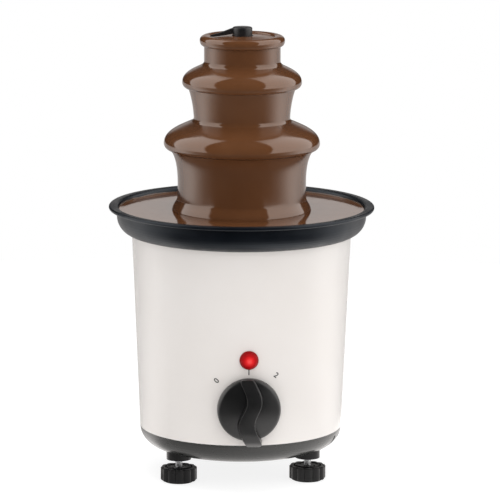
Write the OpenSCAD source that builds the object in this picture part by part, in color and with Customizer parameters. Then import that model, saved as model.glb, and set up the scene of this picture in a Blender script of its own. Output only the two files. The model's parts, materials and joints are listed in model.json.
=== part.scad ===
// Table chocolate fountain: a heated bowl on a round casing, a lift-off tower with three tiers,
// and a screw inside the tower that carries the chocolate up to the crown.
// Millimetres, +Z up. The origin is on the table, under the middle of the bowl.
// The front, with the lamp and the knob, faces -Y.

/* [Casing] */
// Diameter of the casing at its lower edge
casing_d_bottom = 135.6; // [130:0.2:142]
// Diameter of the casing at its upper edge
casing_d_top = 147; // [143:0.5:152]
// Height of the casing
casing_h = 131; // [122:0.5:150]
// Thickness of the casing's sheet
casing_wall = 1; // [0.8:0.1:1.4]

/* [Base tray] */
// Height of the tray from its underside to the casing
tray_h = 14.5; // [14:0.5:20]
// Diameter of the tray's flat underside
tray_floor_d = 100; // [90:1:108]
// Thickness of the tray's floor
tray_wall = 2.2; // [1.8:0.1:3]
// Height of the spigot that centres the casing on the tray
spigot_h = 5; // [3:0.5:8]
// Thickness of the spigot
spigot_t = 2; // [1.5:0.1:3]
// Height of the tray's underside above the table
ground_gap = 19; // [18:0.5:22]
// Number of vent slots in the tray's right side
vent_count = 5; // [3:1:6]
// Width of a vent slot
vent_w = 3; // [2:0.2:4]
// Height of a vent slot
vent_h = 7; // [5:0.5:9]

/* [Feet] */
// Diameter of the circle that the three feet stand on
foot_circle_d = 100; // [92:1:104]
// Diameter of the hand wheel over its lobes
wheel_d = 24.4; // [22:0.2:27]
// Height of the hand wheel
wheel_h = 9; // [8:0.2:9.6]
// Number of grip lobes on the hand wheel
wheel_lobes = 12; // [8:1:16]
// Diameter of the threaded stud
stud_d = 5; // [4:0.2:6]
// Length of stud inside the threaded socket
stud_grip = 10; // [8:0.5:11]
// Diameter of the threaded socket
socket_d = 16.5; // [14:0.5:18]
// Length of the socket
socket_h = 11; // [9:0.5:13]
// Length of the socket that shows below the tray
socket_drop = 3.7; // [2.5:0.1:4]
// Diameter of the rubber pad under the wheel
pad_d = 19; // [16:0.5:21]
// Height of the pad
pad_h = 1; // [0.8:0.1:1.4]

/* [Bowl] */
// Diameter over the rim
rim_d = 178; // [172:1:190]
// Height of the rim above the casing
rim_h = 19; // [17.5:0.5:23]
// Width of the flat rim
lip_w = 5.4; // [4:0.2:7]
// Thickness of the rim
lip_t = 2.6; // [2:0.1:3.4]
// Height of the flared side
flare_h = 12; // [9:0.5:13]
// Depth of the well below the casing's upper edge
well_depth = 10; // [8.5:0.5:13]
// Radius where the well's side meets its floor
well_corner = 7; // [5:0.5:8]
// Width of the ledge on which the bowl rests
seat_w = 3.5; // [3:0.1:5]
// Thickness of the bowl
bowl_wall = 1.5; // [1.2:0.1:2]

/* [Chocolate] */
// Drop from the rim to the surface of the chocolate
pool_drop = 3.3; // [2.5:0.1:5]
// Thickness of the chocolate that runs over the tower
coat = 1.8; // [1.2:0.1:2.2]
// Thickness of a falling curtain
curtain_t = 1.6; // [1:0.1:2]

/* [Tower] */
// Diameter of the drum that the tower stands on
drum_d = 91.6; // [86:0.4:96]
// Height of the drum
drum_h = 28; // [26:0.5:30]
// Diameter of the lower tier
lower_tier_d = 100.8; // [97:0.2:108]
// Diameter of the lower tier's neck
lower_neck_d = 62.5; // [60:0.5:70]
// Height of the lower tier's widest line above the bowl's floor
lower_rise = 69.5; // [64:0.5:75]
// Height of the lower tier's dome
lower_dome_h = 13.9; // [12:0.1:18]
// Diameter of the middle tier
middle_tier_d = 76.4; // [74:0.4:82]
// Diameter of the middle tier's neck
middle_neck_d = 49.2; // [48:0.4:54]
// Height of the middle tier's widest line above the bowl's floor
middle_rise = 110.6; // [107:0.1:116]
// Height of the middle tier's dome
middle_dome_h = 10.6; // [7:0.1:12]
// Diameter of the crown
crown_d = 53.2; // [51:0.2:56]
// Height of the crown's widest line above the bowl's floor
crown_rise = 138.6; // [134:0.1:146]
// Thickness of the tower's plastic
tower_wall = 1.6; // [1.2:0.1:1.8]
// Bore of the column in which the screw turns
column_bore_d = 27.2; // [24:0.2:28]

/* [Screw] */
// Pitch of the screw's flight
flight_pitch = 24; // [18:1:32]
// Thickness of the flight
flight_t = 2; // [1.4:0.1:3]
// Diameter of the screw's core
core_d = 10; // [8:0.2:11]
// Diameter of the head above the crown
head_d = 13.2; // [11:0.2:15]
// Height of the head
head_h = 6.5; // [5:0.1:9]
// Reach of the head's scraper from the middle
scraper_reach = 21.4; // [16:0.2:21.6]

/* [Drive] */
// Diameter of the drive shaft
shaft_d = 6; // [5:0.2:7]
// Width of the hexagonal dog over its corners
dog_d = 11.2; // [9:0.2:12]
// Height of the dog
dog_h = 12; // [9:0.5:14]
// Teeth of the pinion on the motor
pinion_teeth = 12; // [12:1:14]
// Teeth of the idler's large wheel
idler_teeth = 48; // [44:1:50]
// Teeth of the idler's small wheel
idler_small_teeth = 14; // [14:1:16]
// Teeth of the wheel on the drive shaft
output_teeth = 42; // [38:1:42]
// Tooth module of the fast pair
fast_module = 0.8; // [0.7:0.05:0.85]
// Tooth module of the slow pair
slow_module = 1; // [0.9:0.05:1.05]
// Width of the fast pair's teeth
fast_face = 6; // [4:0.5:7]
// Width of the slow pair's teeth
slow_face = 7; // [5:0.5:9]
// Distance from the bowl's underside to the gear plates
gearbox_drop = 26.5; // [22:0.5:32]
// Thickness of a gear plate
plate_t = 2; // [1.5:0.1:3]
// Diameter of the motor
motor_d = 42; // [36:1:44]
// Length of the motor
motor_h = 40; // [32:1:46]
// Diameter of the circle of tie rods
rod_circle_d = 92; // [90:1:98]
// Diameter of a tie rod
rod_d = 4; // [3:0.2:5]

/* [Heater] */
// Outer diameter of the heating ring
heater_d = 76; // [68:1:78]
// Inner diameter of the heating ring
heater_bore_d = 44; // [36:1:48]
// Thickness of the heating ring
heater_t = 1.5; // [1:0.1:2.5]
// Diameter of the thermostat
thermostat_d = 16; // [12:0.5:18]

/* [Control panel] */
// Height of the knob's middle above the casing's lower edge
knob_rise = 25.5; // [25:0.5:30]
// Diameter of the knob
knob_d = 42; // [36:0.5:44]
// Height of the knob's disc at its middle
knob_disc_h = 7.7; // [7:0.1:9]
// Height of the grip above the disc
grip_h = 7.4; // [5:0.2:7.8]
// Width of the grip
grip_w = 9.6; // [8.4:0.2:12]
// Sideways swing of the grip's curve
grip_swing = 2.1; // [0:0.1:3]
// Height of the lamp above the casing's lower edge
lamp_rise = 58.2; // [54:0.2:75]
// Diameter of the lamp's lens
lamp_d = 12.5; // [11.5:0.1:16]
// Height of the lamp's dome
lamp_dome_h = 5.2; // [3:0.1:7]
// Diameter of the switch's spindle
spindle_d = 6; // [5:0.2:6.4]
// Width of the switch's body
switch_w = 26; // [22:0.5:30]

/* [Cord inlet] */
// Height of the cord inlet above the casing's lower edge
inlet_rise = 14; // [13.5:0.5:24]
// Bore of the cord inlet
inlet_bore_d = 7; // [5:0.2:8]

/* [Fits] */
// Radial gap of a shaft that turns in its bush or a stud in its thread
running_gap = 0.05; // [0.02:0.01:0.1]
// Radial gap of a piece that is pressed into its seat
press_gap = 0.02; // [0.01:0.01:0.05]
// Gap of a piece that slips over or into another
slip_gap = 0.2; // [0.1:0.05:0.4]
// Gap between pieces that move past each other
moving_gap = 0.4; // [0.3:0.05:0.6]
// Gap between the chocolate and the surface that carries it
film_gap = 0.1; // [0.05:0.05:0.2]

/* [Hidden] */
$fn = 96;

// How far a cut reaches past the face that it opens, and a fused piece into its neighbour
past = 1;

// Heights of the main seats
tray_z = ground_gap;
casing_z = tray_z + tray_h;
seat_z = casing_z + casing_h;
bowl_z = seat_z - well_depth;
floor_z = bowl_z + bowl_wall;
rim_z = seat_z + rim_h;
pool_z = rim_z - pool_drop;
drum_z = floor_z + drum_h;

// Radii and slope of the casing
casing_rb = casing_d_bottom / 2;
casing_rt = casing_d_top / 2;
taper = atan((casing_rt - casing_rb) / casing_h);
wall_cut = 8;
wall_curve = 0.3;
flange_sink = 2;
spigot_r = casing_rb - casing_wall - slip_gap;
spigot_z = casing_z + spigot_h;
tray_floor_r = tray_floor_d / 2;

// Radii of the bowl
well_r = casing_rt - seat_w;
side_inset = 0.9;
side_r = casing_rt - side_inset;
rim_r = rim_d / 2;
rim_in_r = rim_r - lip_w;
flare_w = rim_in_r - side_r;
rim_edge = 2.8;
hub_rise = 10;
hub_z = floor_z + hub_rise;
hub_wall = 3;
bush_wall = 3;
hub_bore_r = shaft_d / 2 + bush_wall;
hub_r = hub_bore_r + hub_wall;
boss_h = 8.5;
boss_z = bowl_z - boss_h;

// Feet
foot_angles = [for (k = [0:2]) -150 + 120 * k];
socket_z = tray_z - socket_drop;
socket_wall = 2.2;
socket_cap = 1;
wheel_z = pad_h;
wheel_top_z = wheel_z + wheel_h;
pad_pin_h = 3;
stud_z = wheel_z + pad_pin_h + moving_gap;
stud_top_z = socket_z + stud_grip;

// Tie rods
rod_angles = [for (k = [0:2]) 60 + 120 * k];
rod_r = rod_d / 2;
post_wall = 3.5;
post_r = rod_r + post_wall;
post_h = 13.5;
post_top_z = tray_z + post_h;
rod_head_w = 1.6;
rod_head_r = rod_r + rod_head_w;
rod_head_h = 2.8;
rod_head_sink = 1.2;
rod_head_z = tray_z + rod_head_sink;
rod_end_gap = 2;
rod_top_z = bowl_z - rod_end_gap;
spacer_wall = 1.5;
spacer_r = rod_r + spacer_wall;
rod_boss_wall = 2.5;

// Gear train, from the bowl down
gear_gap = 1.5;
screw_room = 2.4;
box_h = screw_room + fast_face + gear_gap + slow_face + gear_gap;
upper_plate_z = bowl_z - gearbox_drop - plate_t;
lower_plate_top_z = upper_plate_z - box_h;
lower_plate_z = lower_plate_top_z - plate_t;
fast_z = lower_plate_top_z + screw_room;
slow_z = fast_z + fast_face + gear_gap;
slow_top_z = slow_z + slow_face;
plate_r = rod_circle_d / 2 + post_r;
addendum = 0.75;
dedendum = 1.1;
pressure_angle = 20;
backlash = 0.25;
idler_y = (output_teeth + idler_small_teeth) * slow_module / 2;
idler_at = [0, idler_y];
mesh_angle = 200;
fast_distance = (pinion_teeth + idler_teeth) * fast_module / 2;
motor_at = idler_at + fast_distance * [cos(mesh_angle), sin(mesh_angle)];
motor_r = motor_d / 2;
motor_z = lower_plate_z - motor_h;
motor_shaft_r = 1.5;
motor_boss_r = 6;
motor_rear_h = 3;
shaft_stub = 1;
idler_pin_r = 2;
idler_collar = 2;
bush_flange_t = 1.2;
bush_flange_w = 1.5;
lower_bush_wall = 2;
lower_bush_r = shaft_d / 2 + lower_bush_wall;
plate_clearance = 2;
lower_bush_drop = 1.5;
shaft_end_z = lower_plate_z - lower_bush_drop;
motor_screw_r = 1.5;
motor_screw_at = 14;
motor_screw_depth = 6;
screw_head_r = 2.7;
screw_head_h = 1.6;

// Dog and screw
seal_h = 6;
slinger_t = 0.6;
slinger_w = 2.5;
slinger_r = hub_bore_r + slinger_w;
slinger_z = hub_z + moving_gap;
dog_z = slinger_z + slinger_t;
dog_top_z = dog_z + dog_h;
dog_r = dog_d / 2;
dog_cap_t = 3;
shaft_top_z = dog_top_z - dog_cap_t;
auger_lift = 2;
auger_z = dog_z + auger_lift;
socket_room = dog_r + moving_gap;
auger_socket_wall = 3.2;
auger_socket_r = socket_room + auger_socket_wall;
auger_cap_t = 4;
cavity_z = dog_top_z + moving_gap;
core_r = core_d / 2;
flight_r = column_bore_d / 2 - moving_gap;
flight_steps = 24;
flight_start = 2;
flight_root = 1;
throat_gap = 0.6;

// Tower
column_r = column_bore_d / 2;
column_step = 1;
sleeve_h = 10;
drum_plate_t = 2;
drum_r = drum_d / 2;
drum_shoulder_w = 2.4;
drum_shoulder_h = 4.5;
lip_in = 2;
lip_drop = 2.2;
crest_in = 2.2;
crest_h = 1.5;
crown_lip_in = 0.9;
crown_lip_drop = 2;
crown_floor_drop = 0.4;
crown_floor_t = 3;
curtain_tuck = 0.2;
tier_pull = 0.5;
drum_pull = -0.35;
skirt_depth = 3.2;
lower_z = floor_z + lower_rise;
middle_z = floor_z + middle_rise;
crown_z = floor_z + crown_rise;
crest_z = crown_z + crest_h;
crest_r = crown_d / 2 - crest_in;
crown_floor_z = crown_z - crown_floor_drop;
column_top_z = crown_floor_z - crown_floor_t;
lower_neck = [lower_neck_d / 2, lower_z + lower_dome_h];
middle_neck = [middle_neck_d / 2, middle_z + middle_dome_h];
drum_neck = [drum_r - drum_shoulder_w, drum_z];
dish_z = crown_floor_z + coat;
head_gap = 1;
head_z = dish_z + head_gap;
head_top_z = head_z + head_h;
flight_over = 0.5;
flight_top_z = column_top_z + flight_over;

// Heater
heater_z = bowl_z - heater_t;
clamp_t = 1.2;
clamp_z = heater_z - clamp_t;
heater_stud_circle_r = (heater_d + heater_bore_d) / 4;
heater_stud_r = 1.5;
heater_nut_t = 2.4;
heater_nut_r = 3.2;
heater_stud_end = 1;
thermostat_h = 7;
thermostat_angle = -45;

// Control panel, in heights along the casing's outward normal
knob_z = casing_z + knob_rise;
lamp_z = casing_z + lamp_rise;
inlet_z = casing_z + inlet_rise;
knob_gap = 1.5;
knob_r = knob_d / 2;
knob_edge = 1.8;
knob_shell = 2.2;
knob_face = knob_gap + knob_disc_h;
knob_top_t = 2.8;
knob_hollow_top = knob_face - knob_top_t;
grip_inset = 0.6;
grip_overhang = 3.8;
grip_top_end = knob_r - grip_inset;
grip_low_end = -knob_r - grip_overhang;
grip_root = 2.3;
tail_drop = 4.4;
grip_wave = 31;
grip_steps = 22;
bushing_wall = 2;
bushing_r = spindle_d / 2 + bushing_wall;
bushing_top = 3;
switch_front = -6;
switch_back = -20;
switch_end_t = 1;
spindle_reach = 1.4;
spindle_top = knob_face + spindle_reach;
spindle_cut = 1.2;
spindle_flat = spindle_d / 2 - spindle_cut;
nut_t = 2.4;
nut_w = 2.6;
lamp_r = lamp_d / 2;
lamp_lip = 1.4;
lamp_body_r = lamp_r - lamp_lip;
lamp_flange_t = 1.2;
lamp_back = -18;
inlet_bore_r = inlet_bore_d / 2;
inlet_wall = 2.8;
inlet_shank_r = inlet_bore_r + inlet_wall;
inlet_flange_w = 2.7;
inlet_flange_r = inlet_shank_r + inlet_flange_w;
inlet_flange_t = 2.6;
inlet_back = -9;

// Points on a round, an oval and a curved stretch of an outline
function arc(c, r, a0, a1, n = 6) = oval(c, r, r, a0, a1, n);
function oval(c, rx, ry, a0, a1, n = 10) =
  [for (i = [0:n]) let (a = a0 + (a1 - a0) * i / n) c + [rx * cos(a), ry * sin(a)]];
function bezier(p0, p1, p2, p3, n = 10) =
  [for (i = [0:n]) let (t = i / n, u = 1 - t)
    u * u * u * p0 + 3 * u * u * t * p1 + 3 * u * t * t * p2 + t * t * t * p3];
function reversed(line) = [for (i = [len(line) - 1:-1:0]) line[i]];
function rest(line) = [for (i = [1:len(line) - 1]) line[i]];
function last(line) = line[len(line) - 1];

// A line moved sideways, to its left as it is walked
function left_of(line, i) =
  let (a = line[max(i - 1, 0)], b = line[min(i + 1, len(line) - 1)], d = b - a)
    [-d.y, d.x] / norm(d);
function grown(line, by) = [for (i = [0:len(line) - 1]) line[i] + by * left_of(line, i)];

function clamped(x) = min(max(x, 0), 1);
function casing_r(z) = casing_rb + (z - casing_z) * tan(taper);

// Outline of the bowl's side, from its floor to the top of the flare
function bowl_side(inset) = concat(
  arc([well_r - well_corner, bowl_z + well_corner], well_corner - inset, -90, 0),
  [[well_r - inset, seat_z + inset]],
  oval([side_r, seat_z + flare_h], flare_w - inset, flare_h - inset, -90, 0));

// Upper surface of a tier, from its neck over the widest line to the lip's lower edge
function lip_line(wide, in, drop) = rest(oval([wide.x - in, wide.y], in, drop, 0, -90, 6));
function tier_line(neck, wide) =
  let (dr = wide.x - neck.x, dz = neck.y - wide.y)
    concat(
      bezier(neck, neck + [0.4 * dr, -0.28 * dz], wide + [0, 0.5 * dz], wide),
      lip_line(wide, lip_in, lip_drop));
lower_line = tier_line(lower_neck, [lower_tier_d / 2, lower_z]);
middle_line = tier_line(middle_neck, [middle_tier_d / 2, middle_z]);
crown_line = concat(
  oval([crest_r, crown_z], crest_in, crest_h, 90, 0, 6),
  lip_line([crown_d / 2, crown_z], crown_lip_in, crown_lip_drop));
drum_line = bezier(
  drum_neck,
  drum_neck + [0.7 * drum_shoulder_w, 0],
  [drum_r, drum_z - 0.4 * drum_shoulder_h],
  [drum_r, drum_z - drum_shoulder_h]);

// Outer surface of a curtain that falls from the lip of one line to the neck of the next,
// drawn in below the lip by a pull
function curtain_line(from, to, pull) =
  let (
    top = last(from) + [-curtain_tuck, -coat],
    foot = grown(to, coat)[0] + [0, film_gap],
    fall = top - foot)
    bezier(top, foot + [pull * fall.x, 0.8 * fall.y], foot + [0, 0.35 * fall.y], foot);

// Chocolate over one line, with the curtain that hangs from its lip
function curtain_back(from, curtain) = concat(
  reversed(grown(curtain, -curtain_t)),
  [[curtain[0].x - curtain_t, last(from).y - film_gap]],
  reversed(grown(from, film_gap)));
function cascade_outline(line, below) =
  let (
    over = grown(line, coat),
    inner_r = line[0].x - 2 * curtain_t,
    curtain = curtain_line(line, below, tier_pull))
    concat(
      [[inner_r, line[0].y + film_gap], [inner_r, over[0].y]],
      over, curtain, curtain_back(line, curtain));

// Outline of a gear: each tooth's flank follows the involute from its root to its tip
degrees_per_radian = 180 / PI;
function involute(a) = tan(a) * degrees_per_radian - a;
function flank_turn(r, pitch_r) =
  let (base_r = pitch_r * cos(pressure_angle))
    involute(pressure_angle) - involute(r > base_r ? acos(base_r / r) : 0);
function gear_outline(teeth, m) =
  let (
    pitch_r = teeth * m / 2,
    half_tooth = 90 / teeth - backlash / 4 / pitch_r * degrees_per_radian,
    radii = [pitch_r - dedendum * m, pitch_r - 0.35 * m, pitch_r, pitch_r + addendum * m],
    flank = [for (r = radii) [r, half_tooth + flank_turn(r, pitch_r)]],
    sides = concat([for (p = flank) [p[0], -p[1]]], reversed(flank)))
    [for (k = [0:teeth - 1]) for (p = sides)
      let (a = 360 * k / teeth + p[1]) p[0] * [cos(a), sin(a)]];

// Places
module at_foot(k) {
  rotate([0, 0, foot_angles[k - 1]])
    translate([foot_circle_d / 2, 0, 0])
      children();
}

module at_feet() {
  for (k = [1:3])
    at_foot(k)
      children();
}

module at_rod(k) {
  rotate([0, 0, rod_angles[k - 1]])
    translate([rod_circle_d / 2, 0, 0])
      children();
}

module at_rods() {
  for (k = [1:3])
    at_rod(k)
      children();
}

module at_heater_studs() {
  for (k = [0:2])
    rotate([0, 0, 120 * k])
      translate([heater_stud_circle_r, 0, 0])
        children();
}

module at_motor_screw(k) {
  side = 2 * k - 3;
  translate(motor_at + side * motor_screw_at * [-sin(mesh_angle), cos(mesh_angle)])
    children();
}

module at_motor_screws() {
  for (k = [1:2])
    at_motor_screw(k)
      children();
}

// On the casing's wall at a height, with +Z outwards and +Y up the wall
module on_front(z) {
  translate([0, -casing_r(z), z])
    rotate([90 + taper, 0, 0])
      children();
}

module on_back(z) {
  rotate([0, 0, 180])
    on_front(z)
      children();
}

// The space inside the casing's outer surface
module casing_space() {
  translate([0, 0, casing_z])
    cylinder(r1 = casing_rb + press_gap, r2 = casing_rt + press_gap, h = casing_h);
}

module disc(r, z0, z1) {
  translate([0, 0, z0])
    cylinder(r = r, h = z1 - z0);
}

module tube(r, bore, z0, z1) {
  difference() {
    disc(r, z0, z1);
    disc(bore, z0 - past, z1 + past);
  }
}

module hexagon(r, z0, z1) {
  translate([0, 0, z0])
    cylinder(r = r, h = z1 - z0, $fn = 6);
}

module gear(teeth, m, z0, z1, angle) {
  translate([0, 0, z0])
    rotate([0, 0, angle])
      linear_extrude(z1 - z0)
        polygon(gear_outline(teeth, m));
}

// Base tray with its foot bosses, screw posts and vents
module tray_outside() {
  rotate_extrude()
    polygon(concat(
      [[0, tray_z]],
      oval([tray_floor_r, casing_z], casing_rb - tray_floor_r, tray_h, -90, 0, 12),
      [[spigot_r, casing_z], [spigot_r, spigot_z], [0, spigot_z]]));
}

module tray_inside() {
  rotate_extrude()
    polygon(concat(
      [[0, tray_z + tray_wall]],
      oval([tray_floor_r, casing_z], spigot_r - spigot_t - tray_floor_r, tray_h - tray_wall, -90, 0, 12),
      [[spigot_r - spigot_t, spigot_z + past], [0, spigot_z + past]]));
}

module side_vents() {
  spread = 9;
  middle_angle = -6;
  top_drop = 3;
  depth = 14;
  for (k = [0:vent_count - 1])
    rotate([0, 0, middle_angle + spread * (k - (vent_count - 1) / 2)])
      translate([casing_rb - depth, 0, casing_z - top_drop])
        rotate([0, 90, 0])
          linear_extrude(depth + past) {
            translate([vent_w / 2, -vent_w / 2])
              square([vent_h - vent_w, vent_w]);
            for (x = [vent_w / 2, vent_h - vent_w / 2])
              translate([x, 0])
                circle(d = vent_w);
          }
}

module floor_vents() {
  slot_l = 26;
  pitch = 9;
  for (k = [-2:2])
    translate([pitch * k - vent_w / 2, -slot_l / 2, tray_z - past])
      cube([vent_w, slot_l, tray_wall + 2 * past]);
}

module base_tray() {
  color([0.26, 0.26, 0.26])
    difference() {
      tray_outside();
      difference() {
        tray_inside();
        at_feet()
          disc(socket_d / 2 + socket_wall, tray_z, socket_z + socket_h + socket_cap);
        at_rods()
          disc(post_r, tray_z, post_top_z);
      }
      at_feet()
        disc(socket_d / 2 + press_gap, tray_z - past, socket_z + socket_h + socket_cap + past);
      at_rods() {
        disc(rod_r + slip_gap, tray_z - past, post_top_z + past);
        disc(rod_head_r + slip_gap, tray_z - past, rod_head_z + rod_head_h);
      }
      side_vents();
      floor_vents();
    }
}

// Casing with its holes for the switch, the lamp and the cord inlet
module casing() {
  color([0.91, 0.9, 0.88])
    difference() {
      rotate_extrude()
        polygon([
          [casing_rb, casing_z],
          [casing_rt, seat_z],
          [well_r + slip_gap, seat_z],
          [well_r + slip_gap, seat_z - casing_wall],
          [casing_r(seat_z - casing_wall) - casing_wall, seat_z - casing_wall],
          [casing_rb - casing_wall, casing_z]]);
      on_front(knob_z)
        disc(bushing_r + slip_gap, -wall_cut, wall_cut);
      on_front(lamp_z)
        disc(lamp_body_r + slip_gap, -wall_cut, wall_cut);
      on_back(inlet_z)
        disc(inlet_shank_r + slip_gap, -wall_cut, wall_cut);
    }
}

// Bowl with its rim, the hub for the drive shaft and the bosses for the tie rods
module bowl() {
  color([0.1, 0.11, 0.14])
    difference() {
      union() {
        rotate_extrude()
          polygon(concat(
            [[hub_bore_r, boss_z], [hub_r, boss_z], [hub_r, bowl_z]],
            bowl_side(0),
            [[rim_in_r, rim_z - lip_t]],
            arc([rim_r - lip_t / 2, rim_z - lip_t / 2], lip_t / 2, -90, 90, 8),
            arc([rim_in_r - bowl_wall + rim_edge, rim_z - rim_edge], rim_edge, 90, 180, 4),
            reversed(bowl_side(bowl_wall)),
            [[hub_r, floor_z], [hub_r, hub_z], [hub_bore_r, hub_z]]));
        at_rods()
          disc(rod_r + rod_boss_wall, boss_z, bowl_z + bowl_wall / 2);
      }
      at_rods()
        disc(rod_r + press_gap, boss_z - past, rod_top_z + rod_end_gap / 4);
    }
}

module chocolate_pool() {
  color([0.3, 0.16, 0.08])
    rotate_extrude()
      intersection() {
        polygon(concat(
          [[0, floor_z + film_gap]],
          bowl_side(bowl_wall + film_gap),
          [[rim_in_r - bowl_wall - film_gap, rim_z], [0, rim_z]]));
        translate([drum_r + coat + moving_gap, floor_z])
          square([rim_r, pool_z - floor_z]);
      }
}

// Levelling feet
module foot_socket(k) {
  color([0.09, 0.09, 0.09])
    at_foot(k)
      tube(socket_d / 2, stud_d / 2 + running_gap, socket_z, socket_z + socket_h);
}

module foot_pad(k) {
  color([0.15, 0.15, 0.15])
    at_foot(k) {
      disc(pad_d / 2, 0, pad_h);
      disc(stud_d / 2 - running_gap, pad_h / 2, pad_h + pad_pin_h);
    }
}

module wheel_outline(inset) {
  lobe_r = wheel_d * sin(180 / wheel_lobes) * 0.55;
  lobe_at = wheel_d / 2 - lobe_r;
  circle(r = lobe_at);
  for (i = [0:wheel_lobes - 1])
    rotate(360 * i / wheel_lobes)
      translate([lobe_at, 0])
        circle(r = lobe_r - inset);
}

module foot_wheel(k) {
  groove_r = wheel_d * 0.34;
  groove_w = 1;
  groove_depth = 1.2;
  dot_r = 0.8;
  edge = 0.5;
  color([0.1, 0.1, 0.1])
    at_foot(k)
      difference() {
        union() {
          translate([0, 0, wheel_z])
            linear_extrude(wheel_h)
              wheel_outline(edge);
          translate([0, 0, wheel_z + edge])
            linear_extrude(wheel_h - 2 * edge)
              wheel_outline(0);
        }
        disc(stud_d / 2 + press_gap, wheel_z - past, wheel_top_z + past);
        tube(groove_r + groove_w, groove_r, wheel_top_z - groove_depth, wheel_top_z + past);
        for (side = [-1, 1])
          translate([side * groove_r * 0.62, 0, 0])
            disc(dot_r, wheel_top_z - groove_depth, wheel_top_z + past);
      }
}

module foot_stud(k) {
  chamfer = 0.6;
  r = stud_d / 2;
  color([0.7, 0.71, 0.72])
    at_foot(k)
      rotate_extrude()
        polygon([
          [0, stud_z],
          [r, stud_z],
          [r, stud_top_z - chamfer],
          [r - chamfer, stud_top_z],
          [0, stud_top_z]]);
}

// Tower: the drum, the column and the tiers that slip over it
function column_out(step) = column_r + tower_wall + step * column_step;
function sleeve_bore(step) = column_out(step) + slip_gap;

module tower_drum() {
  arch_r = 8;
  color([0.13, 0.12, 0.12])
    difference() {
      rotate_extrude()
        polygon(concat(
          [[drum_r, floor_z]],
          reversed(drum_line),
          [
            [sleeve_bore(2), drum_z],
            [sleeve_bore(2), drum_z - drum_plate_t],
            [drum_neck.x - tower_wall, drum_z - drum_plate_t],
            [drum_r - tower_wall, drum_z - drum_plate_t - drum_shoulder_h],
            [drum_r - tower_wall, floor_z]]));
      for (k = [0:2])
        rotate([0, 0, 60 * k])
          translate([-drum_r - past, 0, floor_z])
            rotate([0, 90, 0])
              cylinder(r = arch_r, h = drum_d + 2 * past);
    }
}

module tower_column() {
  window_w = 12;
  window_h = 8;
  ledges = [
    drum_z - drum_plate_t,
    lower_neck.y - sleeve_h,
    middle_neck.y - sleeve_h,
    column_top_z];
  starts = concat([floor_z], ledges);
  color([0.13, 0.12, 0.12])
    difference() {
      rotate_extrude()
        polygon(concat(
          [[column_r, floor_z]],
          [for (k = [0:3]) each [[column_out(3 - k), starts[k]], [column_out(3 - k), ledges[k]]]],
          [[column_r, column_top_z]]));
      for (k = [0:2])
        rotate([0, 0, 60 * k])
          translate([-column_r * 2, -window_w / 2, floor_z - past])
            cube([column_r * 4, window_w, window_h + past]);
    }
}

module tier(line, step) {
  neck_z = line[0].y;
  bore = sleeve_bore(step);
  rotate_extrude()
    polygon(concat(
      [[bore, neck_z]],
      line,
      reversed(grown(line, -tower_wall)),
      [
        [bore + tower_wall, neck_z - tower_wall],
        [bore + tower_wall, neck_z - sleeve_h],
        [bore, neck_z - sleeve_h]]));
}

module lower_tier() {
  color([0.13, 0.12, 0.12])
    tier(lower_line, 1);
}

module middle_tier() {
  color([0.13, 0.12, 0.12])
    tier(middle_line, 0);
}

module crown() {
  bore = sleeve_bore(0);
  dish_r = crest_r - tower_wall;
  lip = last(crown_line);
  color([0.13, 0.12, 0.12])
    rotate_extrude()
      polygon(concat(
        [[column_r, crown_floor_z], [dish_r, crown_floor_z]],
        crown_line,
        [
          [lip.x - tower_wall, lip.y],
          [bore + tower_wall, column_top_z - tower_wall],
          [bore + tower_wall, column_top_z - sleeve_h / 2],
          [bore, column_top_z - sleeve_h / 2],
          [bore, column_top_z],
          [column_r, column_top_z]]));
}

// Chocolate on the tower
module crown_cascade() {
  throat_r = head_d / 2 + throat_gap;
  brim_w = 2.4;
  over = grown(crown_line, coat);
  curtain = curtain_line(crown_line, middle_line, tier_pull);
  color([0.32, 0.17, 0.09])
    rotate_extrude()
      polygon(concat(
        [[throat_r, crown_floor_z + film_gap], [throat_r, dish_z]],
        reversed(oval([crest_r, dish_z], brim_w, crest_z + coat - dish_z, 90, 180, 5)),
        rest(over),
        curtain,
        curtain_back(crown_line, curtain),
        [[crest_r - tower_wall - film_gap, crown_floor_z + film_gap]]));
}

module middle_cascade() {
  color([0.32, 0.17, 0.09])
    rotate_extrude()
      polygon(cascade_outline(middle_line, lower_line));
}

module lower_cascade() {
  over = grown(lower_line, coat);
  inner_r = lower_neck.x - 2 * curtain_t;
  curtain = curtain_line(lower_line, drum_line, drum_pull);
  skirt_z = pool_z - skirt_depth;
  color([0.32, 0.17, 0.09])
    rotate_extrude()
      polygon(concat(
        [[inner_r, lower_neck.y + film_gap], [inner_r, over[0].y]],
        over,
        curtain,
        rest(grown(drum_line, coat)),
        [[drum_r + coat, skirt_z], [drum_r + film_gap, skirt_z]],
        reversed(grown(drum_line, film_gap)),
        [[last(curtain).x - curtain_t, drum_z + film_gap]],
        rest(curtain_back(lower_line, curtain))));
}

// Screw with its hexagonal socket, its flight and the head with its scraper
module flight() {
  start_z = auger_z + flight_start;
  turns = (flight_top_z - flight_t - start_z) / flight_pitch;
  steps = ceil(turns * flight_steps);
  root_r = core_r - flight_root;
  points = [
    for (i = [0:steps])
      let (a = 360 * turns * i / steps, z = start_z + flight_pitch * turns * i / steps)
        for (p = [[root_r, 0], [flight_r, 0], [flight_r, flight_t], [root_r, flight_t]])
          [p[0] * cos(a), p[0] * sin(a), z + p[1]]];
  walls = [
    for (i = [0:steps - 1])
      for (k = [0:3])
        let (a = 4 * i + k, b = 4 * i + (k + 1) % 4)
          each [[a, b, a + 4], [b, b + 4, a + 4]]];
  end = 4 * steps;
  caps = [[0, 2, 1], [0, 3, 2], [end, end + 1, end + 2], [end, end + 2, end + 3]];
  polyhedron(points, concat(walls, caps));
}

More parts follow.
